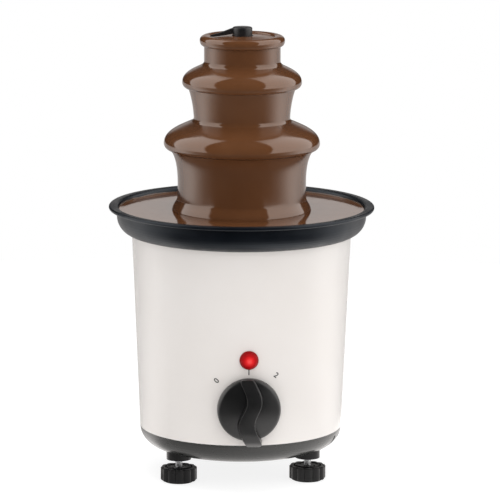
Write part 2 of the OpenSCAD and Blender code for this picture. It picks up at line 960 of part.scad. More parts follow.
module scraper() {
  blade_t = 2.4;
  translate([0, blade_t / 2, 0])
    rotate([90, 0, 0])
      linear_extrude(blade_t)
        polygon([
          [-core_r, head_z + 0.4],
          [-scraper_reach, dish_z + moving_gap],
          [-scraper_reach, dish_z + moving_gap + 1.8],
          [-scraper_reach * 0.72, dish_z + moving_gap + 2.6],
          [-core_r - 1, head_top_z - 0.5]]);
}

module auger() {
  head_edge = 0.6;
  head_r = head_d / 2;
  color([0.08, 0.08, 0.08])
    difference() {
      union() {
        disc(auger_socket_r, auger_z, cavity_z + auger_cap_t);
        disc(core_r, cavity_z, head_z + past);
        flight();
        rotate_extrude()
          polygon([
            [0, head_z],
            [head_r - head_edge, head_z],
            [head_r, head_z + head_edge],
            [head_r, head_top_z - head_edge],
            [head_r - head_edge, head_top_z],
            [0, head_top_z]]);
        scraper();
      }
      hexagon(socket_room, auger_z - past, cavity_z);
    }
}

// Drive
module drive_dog() {
  color([0.75, 0.76, 0.78])
    difference() {
      union() {
        disc(slinger_r, slinger_z, dog_z);
        hexagon(dog_r, slinger_z, dog_top_z);
      }
      disc(shaft_d / 2 + press_gap, slinger_z - past, shaft_top_z + moving_gap);
    }
}

module drive_shaft() {
  color([0.75, 0.76, 0.78])
    disc(shaft_d / 2, shaft_end_z, shaft_top_z);
}

module output_gear() {
  hub = shaft_d / 2 + 3;
  color([0.85, 0.83, 0.78])
    difference() {
      union() {
        gear(output_teeth, slow_module, slow_z, slow_top_z, 90);
        disc(hub, lower_plate_top_z + bush_flange_t + moving_gap, slow_z + past);
      }
      disc(shaft_d / 2 + press_gap, lower_plate_top_z, slow_top_z + past);
    }
}

module idler_gear() {
  color([0.85, 0.83, 0.78])
    translate(idler_at)
      difference() {
        union() {
          gear(idler_teeth, fast_module, fast_z, fast_z + fast_face, mesh_angle + 180 / idler_teeth);
          gear(idler_small_teeth, slow_module, fast_z + past, slow_top_z, -90 + 180 / idler_small_teeth);
          disc(idler_pin_r + idler_collar, lower_plate_top_z + moving_gap, fast_z + past);
        }
        disc(idler_pin_r + running_gap, lower_plate_z, slow_top_z + past);
      }
}

module idler_pin() {
  color([0.7, 0.7, 0.72])
    translate(idler_at)
      disc(idler_pin_r, lower_plate_z, upper_plate_z + plate_t);
}

module motor() {
  edge = 2;
  color([0.6, 0.6, 0.62])
    difference() {
      translate(motor_at)
        rotate_extrude()
          polygon([
            [motor_shaft_r + running_gap, motor_z - motor_rear_h],
            [motor_boss_r, motor_z - motor_rear_h],
            [motor_boss_r, motor_z],
            [motor_r - edge, motor_z],
            [motor_r, motor_z + edge],
            [motor_r, lower_plate_z],
            [motor_boss_r, lower_plate_z],
            [motor_boss_r, lower_plate_top_z],
            [motor_shaft_r + running_gap, lower_plate_top_z]]);
      at_motor_screws()
        disc(motor_screw_r + press_gap, lower_plate_z - motor_screw_depth - past, lower_plate_z + past);
    }
}

module motor_shaft() {
  color([0.75, 0.76, 0.78])
    translate(motor_at)
      disc(motor_shaft_r, motor_z - motor_rear_h, fast_z + fast_face + shaft_stub);
}

module motor_pinion() {
  color([0.75, 0.62, 0.3])
    translate(motor_at)
      difference() {
        gear(pinion_teeth, fast_module, fast_z, fast_z + fast_face, mesh_angle - 180);
        disc(motor_shaft_r + press_gap, fast_z - past, fast_z + fast_face + past);
      }
}

module motor_screw(k) {
  color([0.75, 0.76, 0.78])
    at_motor_screw(k) {
      disc(motor_screw_r, lower_plate_z - motor_screw_depth, lower_plate_top_z + screw_head_h / 2);
      disc(screw_head_r, lower_plate_top_z, lower_plate_top_z + screw_head_h);
    }
}

module gear_plate(z, shaft_hole_r) {
  color([0.66, 0.67, 0.69])
    difference() {
      disc(plate_r, z, z + plate_t);
      disc(shaft_hole_r, z - past, z + plate_t + past);
      translate(idler_at)
        disc(idler_pin_r + press_gap, z - past, z + plate_t + past);
      at_rods()
        disc(rod_r + slip_gap, z - past, z + plate_t + past);
      translate(motor_at)
        disc(motor_boss_r + slip_gap, z - past, z + plate_t + past);
      at_motor_screws()
        disc(motor_screw_r + slip_gap, z - past, z + plate_t + past);
    }
}

module lower_plate() {
  gear_plate(lower_plate_z, lower_bush_r + press_gap);
}

module upper_plate() {
  gear_plate(upper_plate_z, shaft_d / 2 + plate_clearance);
}

module lower_bush() {
  color([0.72, 0.55, 0.25])
    difference() {
      union() {
        disc(lower_bush_r, shaft_end_z, lower_plate_top_z + bush_flange_t);
        disc(lower_bush_r + bush_flange_w, lower_plate_top_z, lower_plate_top_z + bush_flange_t);
      }
      disc(shaft_d / 2 + running_gap, shaft_end_z - past, lower_plate_top_z + bush_flange_t + past);
    }
}

module upper_bush() {
  color([0.72, 0.55, 0.25])
    tube(hub_bore_r - press_gap, shaft_d / 2 + running_gap, boss_z, hub_z - seal_h);
}

module shaft_seal() {
  color([0.2, 0.2, 0.2])
    tube(hub_bore_r - press_gap, shaft_d / 2 + running_gap, hub_z - seal_h, hub_z);
}

// Tie rods, and the spacers that hold the gear plates between the tray and the bowl
module tie_rod(k) {
  color([0.72, 0.73, 0.75])
    at_rod(k) {
      disc(rod_r, rod_head_z, rod_top_z);
      disc(rod_head_r, rod_head_z, rod_head_z + rod_head_h);
    }
}

module rod_spacers() {
  color([0.72, 0.73, 0.75])
    at_rods()
      for (span = [
        [post_top_z, lower_plate_z],
        [lower_plate_top_z, upper_plate_z],
        [upper_plate_z + plate_t, boss_z]])
        tube(spacer_r, rod_r + slip_gap, span[0], span[1]);
}

// Heater under the bowl
module heater_plate(z0, z1) {
  difference() {
    tube(heater_d / 2, heater_bore_d / 2, z0, z1);
    at_heater_studs()
      disc(heater_stud_r + slip_gap, z0 - past, z1 + past);
  }
}

module heater_ring() {
  color([0.55, 0.5, 0.42])
    heater_plate(heater_z, bowl_z);
}

module heater_clamp() {
  color([0.72, 0.73, 0.75])
    heater_plate(clamp_z, heater_z);
}

module heater_studs() {
  color([0.72, 0.73, 0.75])
    at_heater_studs()
      disc(heater_stud_r, clamp_z - heater_nut_t - heater_stud_end, bowl_z);
}

module heater_nuts() {
  color([0.72, 0.73, 0.75])
    at_heater_studs()
      difference() {
        hexagon(heater_nut_r, clamp_z - heater_nut_t, clamp_z);
        disc(heater_stud_r + press_gap, clamp_z - heater_nut_t - past, clamp_z + past);
      }
}

module thermostat() {
  cap_h = 2;
  can_inset = 1;
  tab_w = 5;
  tab_t = 0.8;
  tab_h = 6;
  color([0.85, 0.82, 0.75])
    rotate([0, 0, thermostat_angle])
      translate([heater_stud_circle_r, 0, 0]) {
        disc(thermostat_d / 2, clamp_z - cap_h, clamp_z);
        disc(thermostat_d / 2 - can_inset, clamp_z - thermostat_h, clamp_z - cap_h / 2);
        for (side = [-1, 1])
          translate([side * thermostat_d / 4 - tab_t / 2, -tab_w / 2, clamp_z - thermostat_h - tab_h])
            cube([tab_t, tab_w, tab_h + past]);
      }
}

module terminal_block() {
  length = 38;
  width = 16;
  height = 12;
  ways = 4;
  screw_r = 2.4;
  wire_r = 2;
  pitch = length / ways;
  middle_y = 24;
  color([0.88, 0.87, 0.82])
    translate([-length / 2, middle_y - width / 2, tray_z + tray_wall])
      difference() {
        cube([length, width, height]);
        for (k = [0:ways - 1])
          translate([pitch * (k + 0.5), 0, 0]) {
            translate([0, width / 2, 0])
              disc(screw_r, height / 2, height + past);
            translate([0, -past, height / 3])
              rotate([-90, 0, 0])
                cylinder(r = wire_r, h = width + 2 * past);
          }
      }
}

// Control panel
module rotary_switch() {
  shoulder_w = 1.8;
  shoulder_r = bushing_r + shoulder_w;
  shoulder_top = -casing_wall - slip_gap - wall_curve;
  color([0.12, 0.12, 0.13])
    on_front(knob_z)
      difference() {
        union() {
          translate([-switch_w / 2, -switch_w / 2, switch_back])
            cube([switch_w, switch_w, switch_front - switch_back]);
          disc(shoulder_r, switch_front - past, shoulder_top);
          disc(bushing_r, switch_front - past, bushing_top);
        }
        disc(spindle_d / 2 + running_gap, switch_back + switch_end_t, bushing_top + past);
      }
}

module switch_nut() {
  color([0.75, 0.76, 0.78])
    on_front(knob_z)
      difference() {
        hexagon(bushing_r + nut_w, press_gap, nut_t);
        disc(bushing_r + press_gap, -past, nut_t + past);
      }
}

module spindle_outline(gap) {
  intersection() {
    circle(r = spindle_d / 2 + gap);
    translate([-spindle_d, -spindle_flat - gap])
      square(2 * spindle_d);
  }
}

module switch_spindle() {
  flat_from = bushing_top + slip_gap;
  color([0.8, 0.8, 0.82])
    on_front(knob_z) {
      disc(spindle_d / 2, switch_back + switch_end_t + moving_gap, flat_from);
      translate([0, 0, flat_from])
        linear_extrude(spindle_top - flat_from)
          spindle_outline(0);
    }
}

// Grip of the knob: cross sections lofted along a curve that sways from side to side
function grip_base(y) = knob_face - grip_root - tail_drop * clamped((2 - knob_r - y) / 3);
function grip_height(y) =
  let (
    climb = sin(90 * clamped((grip_top_end - y) / 15)),
    round_low = clamped((y - grip_low_end) / 5),
    base = grip_base(y),
    top = knob_face - 0.6 + grip_h * climb)
    base + (top - base) * (0.5 + 0.5 * sqrt(1 - pow(1 - round_low, 2)));
function grip_half(y) =
  let (
    low = clamped((y - grip_low_end) / 5),
    high = clamped((grip_top_end - y) / 3))
    grip_w / 2 * (0.5 + 0.5 * sqrt(1 - pow(1 - low, 2))) * (0.7 + 0.3 * sqrt(1 - pow(1 - high, 2)));
function grip_middle(y) = grip_swing * cos(360 * (y - 5) / grip_wave);
function grip_section(y) =
  let (c = grip_middle(y), w = grip_half(y), h = grip_height(y), base = grip_base(y), e = 0.2 * w)
    [for (p = [
      [-w - 0.7, base], [-w, h - e], [-w + 0.3 * e, h - 0.3 * e], [-w + e, h],
      [w - e, h], [w - 0.3 * e, h - 0.3 * e], [w, h - e], [w + 0.7, base]])
      [c + p[0], y, p[1]]];

module knob_grip() {
  sides = 8;
  points = [
    for (i = [0:grip_steps])
      each grip_section(grip_low_end + (grip_top_end - grip_low_end) * i / grip_steps)];
  walls = [
    for (i = [0:grip_steps - 1])
      for (k = [0:sides - 1])
        let (a = sides * i + k, b = sides * i + (k + 1) % sides)
          each [[a, a + sides, b], [b, a + sides, b + sides]]];
  end = sides * grip_steps;
  caps = concat(
    [for (k = [1:sides - 2]) [0, k, k + 1]],
    [for (k = [1:sides - 2]) [end, end + k + 1, end + k]]);
  polyhedron(points, concat(walls, caps));
}

module knob() {
  side_h = knob_disc_h - 3.3;
  boss_wall = 2.5;
  boss_r = spindle_d / 2 + boss_wall;
  boss_from = bushing_top + moving_gap + slip_gap;
  color([0.08, 0.08, 0.08])
    on_front(knob_z)
      difference() {
        union() {
          rotate_extrude()
            polygon(concat(
              [[0, knob_gap], [knob_r, knob_gap]],
              arc([knob_r - 0.5 - knob_edge, knob_gap + side_h], knob_edge, 0, 80),
              [[0, knob_face]]));
          knob_grip();
        }
        difference() {
          disc(knob_r - knob_shell, knob_gap - past, knob_hollow_top);
          disc(boss_r, boss_from, knob_hollow_top + past);
        }
        translate([0, 0, knob_gap])
          linear_extrude(spindle_top + slip_gap - knob_gap)
            spindle_outline(press_gap);
      }
}

module lamp_lens() {
  color([0.8, 0.02, 0.03])
    difference() {
      on_front(lamp_z)
        rotate_extrude()
          polygon(concat(
            [[0, -flange_sink], [lamp_r, -flange_sink], [lamp_r, lamp_flange_t]],
            oval([0, lamp_flange_t], lamp_r - 0.3, lamp_dome_h - lamp_flange_t, 0, 90, 8)));
      casing_space();
    }
}

module lamp_body() {
  front = -0.5;
  color([0.85, 0.84, 0.8])
    on_front(lamp_z)
      disc(lamp_body_r, lamp_back, front);
}

module lamp_clip() {
  clip_w = 2.6;
  clip_t = 1.6;
  front = -casing_wall - 2 * wall_curve;
  color([0.72, 0.73, 0.75])
    on_front(lamp_z)
      tube(lamp_body_r + clip_w, lamp_body_r + press_gap, front - clip_t, front);
}

// Cord inlet at the back
module cord_gland() {
  edge = 0.8;
  color([0.1, 0.1, 0.1]) {
    difference() {
      on_back(inlet_z)
        difference() {
          rotate_extrude()
            polygon(concat(
              [[0, -flange_sink], [inlet_flange_r, -flange_sink]],
              arc([inlet_flange_r - edge, inlet_flange_t - edge], edge, 0, 90, 4),
              [[0, inlet_flange_t]]));
          disc(inlet_bore_r, -flange_sink - past, inlet_flange_t + past);
        }
      casing_space();
    }
    on_back(inlet_z)
      tube(inlet_shank_r, inlet_bore_r, inlet_back, inlet_flange_t / 2);
  }
}

module gland_nut() {
  nut_front = -casing_wall - 3 * wall_curve;
  color([0.1, 0.1, 0.1])
    on_back(inlet_z)
      difference() {
        hexagon(inlet_shank_r + nut_w, nut_front - nut_t, nut_front);
        disc(inlet_shank_r + press_gap, inlet_back, 0);
      }
}

base_tray();
casing();
bowl();
chocolate_pool();
foot_socket(1);  // foot_socket_1
foot_socket(2);  // foot_socket_2
foot_socket(3);  // foot_socket_3
foot_pad(1);  // foot_pad_1
foot_pad(2);  // foot_pad_2
foot_pad(3);  // foot_pad_3
foot_wheel(1);  // foot_wheel_1
foot_wheel(2);  // foot_wheel_2
foot_wheel(3);  // foot_wheel_3
foot_stud(1);  // foot_stud_1
foot_stud(2);  // foot_stud_2
foot_stud(3);  // foot_stud_3
tower_drum();
tower_column();
lower_tier();
middle_tier();
crown();
crown_cascade();
middle_cascade();
lower_cascade();
auger();
drive_dog();
drive_shaft();
output_gear();
idler_gear();
idler_pin();
motor();
motor_shaft();
motor_pinion();
motor_screw(1);  // motor_screw_1
motor_screw(2);  // motor_screw_2
lower_plate();
upper_plate();
lower_bush();
upper_bush();
shaft_seal();
tie_rod(1);  // tie_rod_1
tie_rod(2);  // tie_rod_2
tie_rod(3);  // tie_rod_3
rod_spacers();
heater_ring();
heater_clamp();
heater_studs();
heater_nuts();
thermostat();
terminal_block();
rotary_switch();
switch_nut();
switch_spindle();
knob();
lamp_lens();
lamp_body();
lamp_clip();
cord_gland();
gland_nut();
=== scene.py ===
# %% [markdown]
# # A table chocolate fountain
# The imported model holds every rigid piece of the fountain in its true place. This lesson loads it as
# a fixed frame, gives each piece a finish, and rebuilds the pieces whose look depends on smooth or
# fine forms: the running chocolate, the knob, the lamp, the screw threads and the lifting screw.
# Everything is in metres, with +Z up, the front facing -Y and the origin on the table.

# %% Load the frame
import json
import math

import bmesh
import bpy
from mathutils import Matrix, Vector, noise
from mathutils.geometry import interpolate_bezier as curve


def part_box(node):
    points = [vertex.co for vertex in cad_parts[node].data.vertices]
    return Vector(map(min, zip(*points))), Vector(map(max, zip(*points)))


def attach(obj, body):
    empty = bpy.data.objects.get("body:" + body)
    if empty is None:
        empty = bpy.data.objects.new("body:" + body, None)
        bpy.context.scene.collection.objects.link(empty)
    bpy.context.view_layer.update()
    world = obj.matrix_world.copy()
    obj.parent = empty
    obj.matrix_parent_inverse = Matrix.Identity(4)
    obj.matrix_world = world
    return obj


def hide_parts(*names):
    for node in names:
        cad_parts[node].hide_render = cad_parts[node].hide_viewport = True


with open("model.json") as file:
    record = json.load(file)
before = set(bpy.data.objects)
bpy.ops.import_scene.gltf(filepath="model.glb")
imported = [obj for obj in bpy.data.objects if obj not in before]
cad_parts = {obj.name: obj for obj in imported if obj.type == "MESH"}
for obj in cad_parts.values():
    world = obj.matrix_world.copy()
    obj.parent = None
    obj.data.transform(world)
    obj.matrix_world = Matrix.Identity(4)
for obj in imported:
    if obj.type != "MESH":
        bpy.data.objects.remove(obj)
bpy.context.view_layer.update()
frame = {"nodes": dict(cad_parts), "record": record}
nodes = frame["nodes"]
scene = bpy.context.scene
scene.view_settings.view_transform = "Standard"
MM = 0.001
ORIGIN = Vector((0.0, 0.0, 0.0))
UP = Vector((0.0, 0.0, 1.0))

# %% [markdown]
# ## Camera
# The picture was taken from far away with a long lens, so the rims are flat ellipses and the sides
# hardly converge. A camera can be turned by constraints, but a plain look-at rotation keeps the
# script free of them: the camera's axis goes through a point a little beside the tower's axis.


# %% Camera
def looking(place, target):
    """Matrix of a camera or a lamp that stands at a place and looks at a target."""
    turn = (target - place).to_track_quat("-Z", "Y").to_matrix().to_4x4()
    return Matrix.Translation(place) @ turn


CAMERA_DISTANCE = 2.8
CAMERA_HEIGHT = 0.6636
CAMERA_AZIMUTH = math.radians(-4.4)
CAMERA_ROLL = math.radians(0.3)
LENS_MM = 305.2
SENSOR_MM = 36.0
AIM_HEIGHT = 0.150
AIM_RIGHT = 0.0058
AIM_UP = 0.0026

to_camera = Vector((math.sin(CAMERA_AZIMUTH), -math.cos(CAMERA_AZIMUTH), 0.0))
camera_place = to_camera * CAMERA_DISTANCE + UP * CAMERA_HEIGHT
look = (UP * AIM_HEIGHT - camera_place).normalized()
right = look.cross(UP).normalized()
aim = UP * AIM_HEIGHT + right * AIM_RIGHT + right.cross(look) * AIM_UP

camera_data = bpy.data.cameras.new("camera")
camera_data.lens = LENS_MM
camera_data.sensor_width = SENSOR_MM
camera = bpy.data.objects.new("camera", camera_data)
camera.matrix_world = looking(camera_place, aim) @ Matrix.Rotation(CAMERA_ROLL, 4, "Z")
scene.collection.objects.link(camera)
scene.camera = camera
print("camera at", [round(c, 3) for c in camera_place])

# %% [markdown]
# ## Light
# Four large lamps light the fountain softly: one on each side, one overhead and a wider one in front,
# above the camera's line. They give the shade and the shadow, and they stay out of the reflections,
# because what the glossy pieces mirror is drawn in a later step. Each lamp is set by its brightness
# per area, so a larger lamp gives more light, as a larger window does.


# %% Lamps
def soft_lamp(name, angle, distance, height, size, radiance):
    """An area light round the object, at an angle from the camera to the right."""
    data = bpy.data.lights.new(name, "AREA")
    data.shape = "RECTANGLE"
    data.size, data.size_y = size
    data.energy = math.pi * size[0] * size[1] * radiance
    lamp = bpy.data.objects.new(name, data)
    around = Matrix.Rotation(math.radians(angle), 3, "Z") @ to_camera
    lamp.matrix_world = looking(around * distance + UP * height, UP * LIT_HEIGHT)
    lamp.visible_camera = False
    lamp.visible_glossy = False
    scene.collection.objects.link(lamp)


LIT_HEIGHT = 0.2
SIDE_LAMP = (1.9, 2.2)
soft_lamp("left_lamp", -80.0, 1.5, 0.6, SIDE_LAMP, 0.18)
soft_lamp("right_lamp", 80.0, 1.5, 0.6, SIDE_LAMP, 0.6)
soft_lamp("front_lamp", 8.0, 2.2, 1.3, (3.4, 2.4), 0.96)
soft_lamp("top_lamp", 0.0, 0.2, 1.9, (1.6, 1.6), 2.3)

# %% [markdown]
# ## Background and floor
# The background is white for the camera, and a softer grey for the light that it sheds. A Light Path
# node tells the two apart, which saves a second world. The floor is a pale disc. For the camera it is
# lifted towards white, so that it meets the background without an edge and keeps only the shadow.


# %% World
def camera_ray(tree):
    """One for the rays that come straight from the camera, and nothing for all others."""
    return tree.nodes.new("ShaderNodeLightPath").outputs["Is Camera Ray"]


def blend(tree, share, first, second, output):
    """Two shaders mixed by a share, as what a world or a material shows."""
    mix = tree.nodes.new("ShaderNodeMixShader")
    tree.links.new(share, mix.inputs["Fac"])
    tree.links.new(first, mix.inputs[1])
    tree.links.new(second, mix.inputs[2])
    tree.links.new(mix.outputs["Shader"], tree.nodes[output].inputs["Surface"])


def plain_world():
    """White behind the object, and an even grey light from all round."""
    world = bpy.data.worlds.new("studio")
    world.use_nodes = True
    tree = world.node_tree
    lit = tree.nodes["Background"]
    seen = tree.nodes.new("ShaderNodeBackground")
    for background, strength in ((lit, AMBIENT), (seen, 1.0)):
        background.inputs["Color"].default_value = (1.0, 1.0, 1.0, 1.0)
        background.inputs["Strength"].default_value = strength
    blend(tree, camera_ray(tree), lit.outputs["Background"], seen.outputs["Background"], "World Output")
    scene.world = world


AMBIENT = 0.42
plain_world()
print("light from all round:", AMBIENT)


# %% Floor
def new_material(name):
    """A node material with its tree and its shader."""
    material = bpy.data.materials.new(name)
    material.use_nodes = True
    return material, material.node_tree, material.node_tree.nodes["Principled BSDF"]


def joined(tree, operation, a, b=0.0):
    """Two values put together by a sum, a product and so on."""
    node = tree.nodes.new("ShaderNodeMath")
    node.operation = operation
    for value, socket in zip((a, b), node.inputs):
        if isinstance(value, float):
            socket.default_value = value
        else:
            tree.links.new(value, socket)
    return node.outputs["Value"]


def floor_finish():
    """Pale and matt, and for the camera partly a white glow."""
    material, tree, shader = new_material("floor")
    shader.inputs["Base Color"].default_value = (0.96, 0.96, 0.96, 1.0)
    shader.inputs["Roughness"].default_value = 0.9
    shader.inputs["Specular IOR Level"].default_value = 0.0
    glow = tree.nodes.new("ShaderNodeEmission")
    glow.inputs["Strength"].default_value = FLOOR_GLOW
    share = joined(tree, "MULTIPLY", camera_ray(tree), FLOOR_LIFT)
    blend(tree, share, shader.outputs["BSDF"], glow.outputs["Emission"], "Material Output")
    return material


def mesh_object(name, bm, material):
    """An object at the origin, with its mesh from a bmesh."""
    mesh = bpy.data.meshes.new(name)
    bm.to_mesh(mesh)
    bm.free()
    mesh.materials.append(material)
    obj = bpy.data.objects.new(name, mesh)
    scene.collection.objects.link(obj)
    return obj


def stage_object(name, bm, material):
    """A thing of the studio, which isn't part of the fountain."""
    obj = mesh_object(name, bm, material)
    return obj


FLOOR_RADIUS = 0.8
FLOOR_GLOW = 1.27
FLOOR_LIFT = 0.66
DISC_SIDES = 96
floor_mesh = bmesh.new()
bmesh.ops.create_circle(floor_mesh, cap_ends=True, segments=DISC_SIDES, radius=FLOOR_RADIUS)
floor = stage_object("floor", floor_mesh, floor_finish())
print("floor radius:", FLOOR_RADIUS)

# %% [markdown]
# ## What the gloss mirrors
# Wet chocolate is drawn by what it mirrors. The studio is a tent of pale cloth that rises on both
# sides and meets behind the top, open to a dark room in front and at the back, and its table is bright
# only close to the fountain. A round shell and a disc that nothing but mirror rays can see stand for
# the tent and the table. Two planes on each side bound the tent's cloth, so its shade needs no
# picture. A low band at the far end is what the pool mirrors.


# %% Values in a material
def own_place(tree):
    """Coordinates in the object's own space."""
    return tree.nodes.new("ShaderNodeTexCoord").outputs["Object"]


def vector_math(tree, operation, vector):
    """One step of vector arithmetic, as its node."""
    node = tree.nodes.new("ShaderNodeVectorMath")
    node.operation = operation
    tree.links.new(vector, node.inputs[0])
    return node


def along(tree, vector, axis):
    """How far a vector goes along an axis."""
    node = vector_math(tree, "DOT_PRODUCT", vector)
    node.inputs[1].default_value = axis
    return node.outputs["Value"]


def times(tree, *values):
    """The product of several values."""
    product = values[0]
    for value in values[1:]:
        product = joined(tree, "MULTIPLY", product, value)
    return product


def levels(tree, value, from_low, from_high, to_low, to_high):
    """A value moved softly from one range to another, and held inside it."""
    node = tree.nodes.new("ShaderNodeMapRange")
    node.interpolation_type = "SMOOTHSTEP"
    node.inputs["From Min"].default_value = from_low
    node.inputs["From Max"].default_value = from_high
    node.inputs["To Min"].default_value = to_low
    node.inputs["To Max"].default_value = to_high
    tree.links.new(value, node.inputs["Value"])
    return node.outputs["Result"]


# Each plane that bounds the cloth is a direction across it, and how much it turns towards the sides
FRONT_PLANE, FRONT_TURN = to_camera * 0.60 - right * 0.10 + UP * 0.22, 0.60
BACK_PLANE, BACK_TURN = to_camera * 0.78 + right * 0.073 + UP * 0.414, 0.414
FRONT_SOFT, BACK_SOFT = 0.02, 0.03
# The band at the far end: its start and end in height, and how it fades sideways and forwards
BAND_START, BAND_END, BAND_ASIDE, BAND_FORWARD = (0.06, 0.15), (0.22, 0.4), (0.08, 0.35), (-0.2, 0.0)
CLOTH_TINT = (1.0, 0.97, 0.95, 1.0)
CLOTH_GLOW = 1.9
FAR_END_GLOW = 0.7
DARK_ROOM_GLOW = 0.02
STUDIO_RADIUS = 3.6
print("cloth glow:", CLOTH_GLOW, "dark room glow:", DARK_ROOM_GLOW)


# %% Tent
def glowing(name):
    """A material that only glows, with its coordinates and the socket of its strength."""
    material, tree, shader = new_material(name)
    tree.nodes.remove(shader)
    glow = tree.nodes.new("ShaderNodeEmission")
    glow.inputs["Color"].default_value = CLOTH_TINT
    tree.links.new(glow.outputs["Emission"], tree.nodes["Material Output"].inputs["Surface"])
    return material, tree, own_place(tree), glow.inputs["Strength"]


def tent_finish():
    """Cloth between a front plane and a back plane on each side, and a low band at the far end."""
    material, tree, place, strength = glowing("tent")
    direction = vector_math(tree, "NORMALIZE", place).outputs["Vector"]
    height = along(tree, direction, UP)
    forward = along(tree, direction, to_camera)
    aside = joined(tree, "ABSOLUTE", along(tree, direction, right))
    front = joined(tree, "SUBTRACT", along(tree, direction, FRONT_PLANE), times(tree, aside, FRONT_TURN))
    back = joined(tree, "ADD", along(tree, direction, BACK_PLANE), times(tree, aside, BACK_TURN))
    cloth = times(
        tree, levels(tree, front, -FRONT_SOFT, FRONT_SOFT, 1.0, 0.0),
        levels(tree, back, -BACK_SOFT, BACK_SOFT, 0.0, 1.0),
        levels(tree, aside, 0.05, 0.4, 0.3 * CLOTH_GLOW, CLOTH_GLOW))
    far_end = times(
        tree, levels(tree, height, *BAND_START, 0.0, 1.0), levels(tree, height, *BAND_END, 1.0, 0.0),
        levels(tree, aside, *BAND_ASIDE, FAR_END_GLOW, 0.0), levels(tree, forward, *BAND_FORWARD, 1.0, 0.0))
    lit = joined(tree, "ADD", cloth, far_end)
    tree.links.new(joined(tree, "MAXIMUM", lit, DARK_ROOM_GLOW), strength)
    return material


def mirrored_only(obj):
    """Only mirror rays see it."""
    obj.visible_camera = False
    obj.visible_diffuse = False
    obj.visible_transmission = False
    obj.visible_shadow = False


tent_mesh = bmesh.new()
bmesh.ops.create_uvsphere(tent_mesh, u_segments=64, v_segments=32, radius=STUDIO_RADIUS)
mirrored_only(stage_object("tent", tent_mesh, tent_finish()))
print("tent radius:", STUDIO_RADIUS)


# %% Table
def shades(tree, factor, *stops):
    """Colours along a factor, as (position, colour) stops."""
    ramp = tree.nodes.new("ShaderNodeValToRGB")
    elements = ramp.color_ramp.elements
    while len(elements) < len(stops):
        elements.new(0.5)
    for element, (position, colour) in zip(elements, stops):
        element.position = position
        element.color = (*colour, 1.0)
    tree.links.new(factor, ramp.inputs["Fac"])
    return ramp.outputs["Color"]


def table_finish():
    """Bright round the fountain, most on the right, dark further out in front and pale to the sides."""
    material, tree, place, strength = glowing("table")
    away = vector_math(tree, "LENGTH", place).outputs["Value"]
    near = times(
        tree, levels(tree, away, *NEAR_EDGE, TABLE_GLOW, 0.0),
        levels(tree, along(tree, place, right), *NEAR_SIDES, LEFT_SHARE, RIGHT_SHARE))
    direction = vector_math(tree, "NORMALIZE", place).outputs["Vector"]
    to_back = levels(tree, along(tree, direction, to_camera), 1.0, -1.0, 0.0, 1.0)
    greys = [(position, (shade, shade, shade)) for position, shade in TABLE_SHADES]
    wide = times(tree, shades(tree, to_back, *greys), CLOTH_GLOW)
    tree.links.new(joined(tree, "MAXIMUM", near, wide), strength)
    return material


TABLE_GLOW = 1.5
TABLE_DROP = 0.5 * MM
# Where the bright part ends, and how it grows from the left to the right
NEAR_EDGE, NEAR_SIDES = (0.15, 0.27), (-0.10, 0.12)
LEFT_SHARE, RIGHT_SHARE = 0.5, 1.15
# Shares of the way from the front to the back, and the shade of the table there
TABLE_SHADES = (
    (0.0, 0.01), (0.1, 0.05), (0.235, 0.23), (0.38, 0.54), (0.55, 0.92),
    (0.7, 0.92), (0.82, 0.7), (0.95, 0.4), (1.0, 0.35))
table_mesh = bmesh.new()
bmesh.ops.create_circle(table_mesh, cap_ends=True, segments=DISC_SIDES, radius=STUDIO_RADIUS)
bmesh.ops.translate(table_mesh, verts=table_mesh.verts, vec=(0.0, 0.0, -TABLE_DROP))
mirrored_only(stage_object("table", table_mesh, table_finish()))
floor.visible_glossy = False

# %% [markdown]
# ## Enamel of the casing
# The casing is sheet metal with a white enamel. A finish that is one flat colour looks like paint in a
# diagram, so every finish here starts from noise in the piece's own coordinates, which changes its
# colour and its gloss a little and raises a relief in the surface. The small helpers add one such
# layer each. Enamel has a slow cloudiness and a fine orange peel under a clear coat.


# %% Casing enamel
def moved(tree, place, centre, stretch):
    """Coordinates measured from a centre, and stretched."""
    mapping = tree.nodes.new("ShaderNodeMapping")
    mapping.inputs["Location"].default_value = [-c * s for c, s in zip(centre, stretch)]
    mapping.inputs["Scale"].default_value = stretch
    tree.links.new(place, mapping.inputs["Vector"])
    return mapping.outputs["Vector"]


def grain(tree, place, scale, detail, stretch=(1.0, 1.0, 1.0)):
    """Soft noise, so many lumps a metre."""
    texture = tree.nodes.new("ShaderNodeTexNoise")
    texture.inputs["Scale"].default_value = scale
    texture.inputs["Detail"].default_value = detail
    tree.links.new(moved(tree, place, ORIGIN, stretch), texture.inputs["Vector"])
    return texture.outputs["Fac"]


def varied(tree, cloud, low, high):
    """Noise as a value between two others."""
    return levels(tree, cloud, *NOISE_RANGE, low, high)


def tones(tree, cloud, dark, light):
    """Noise as a colour between two others."""
    return shades(tree, cloud, (NOISE_RANGE[0], dark), (NOISE_RANGE[1], light))


def painted(tree, shader, colour, roughness):
    """Gives a shader its colour and its roughness."""
    tree.links.new(colour, shader.inputs["Base Color"])
    tree.links.new(roughness, shader.inputs["Roughness"])


def relief(tree, shader, height, depth, strength):
    """Bumps of a given depth."""
    bump = tree.nodes.new("ShaderNodeBump")
    bump.inputs["Strength"].default_value = strength
    bump.inputs["Distance"].default_value = depth
    tree.links.new(height, bump.inputs["Height"])
    tree.links.new(bump.outputs["Normal"], shader.inputs["Normal"])


def keep_finish(slot, material):
    """Keeps a finish under the name of the slot that wears it."""
    finishes[slot] = material
    print(slot, "shader nodes:", len(material.node_tree.nodes))


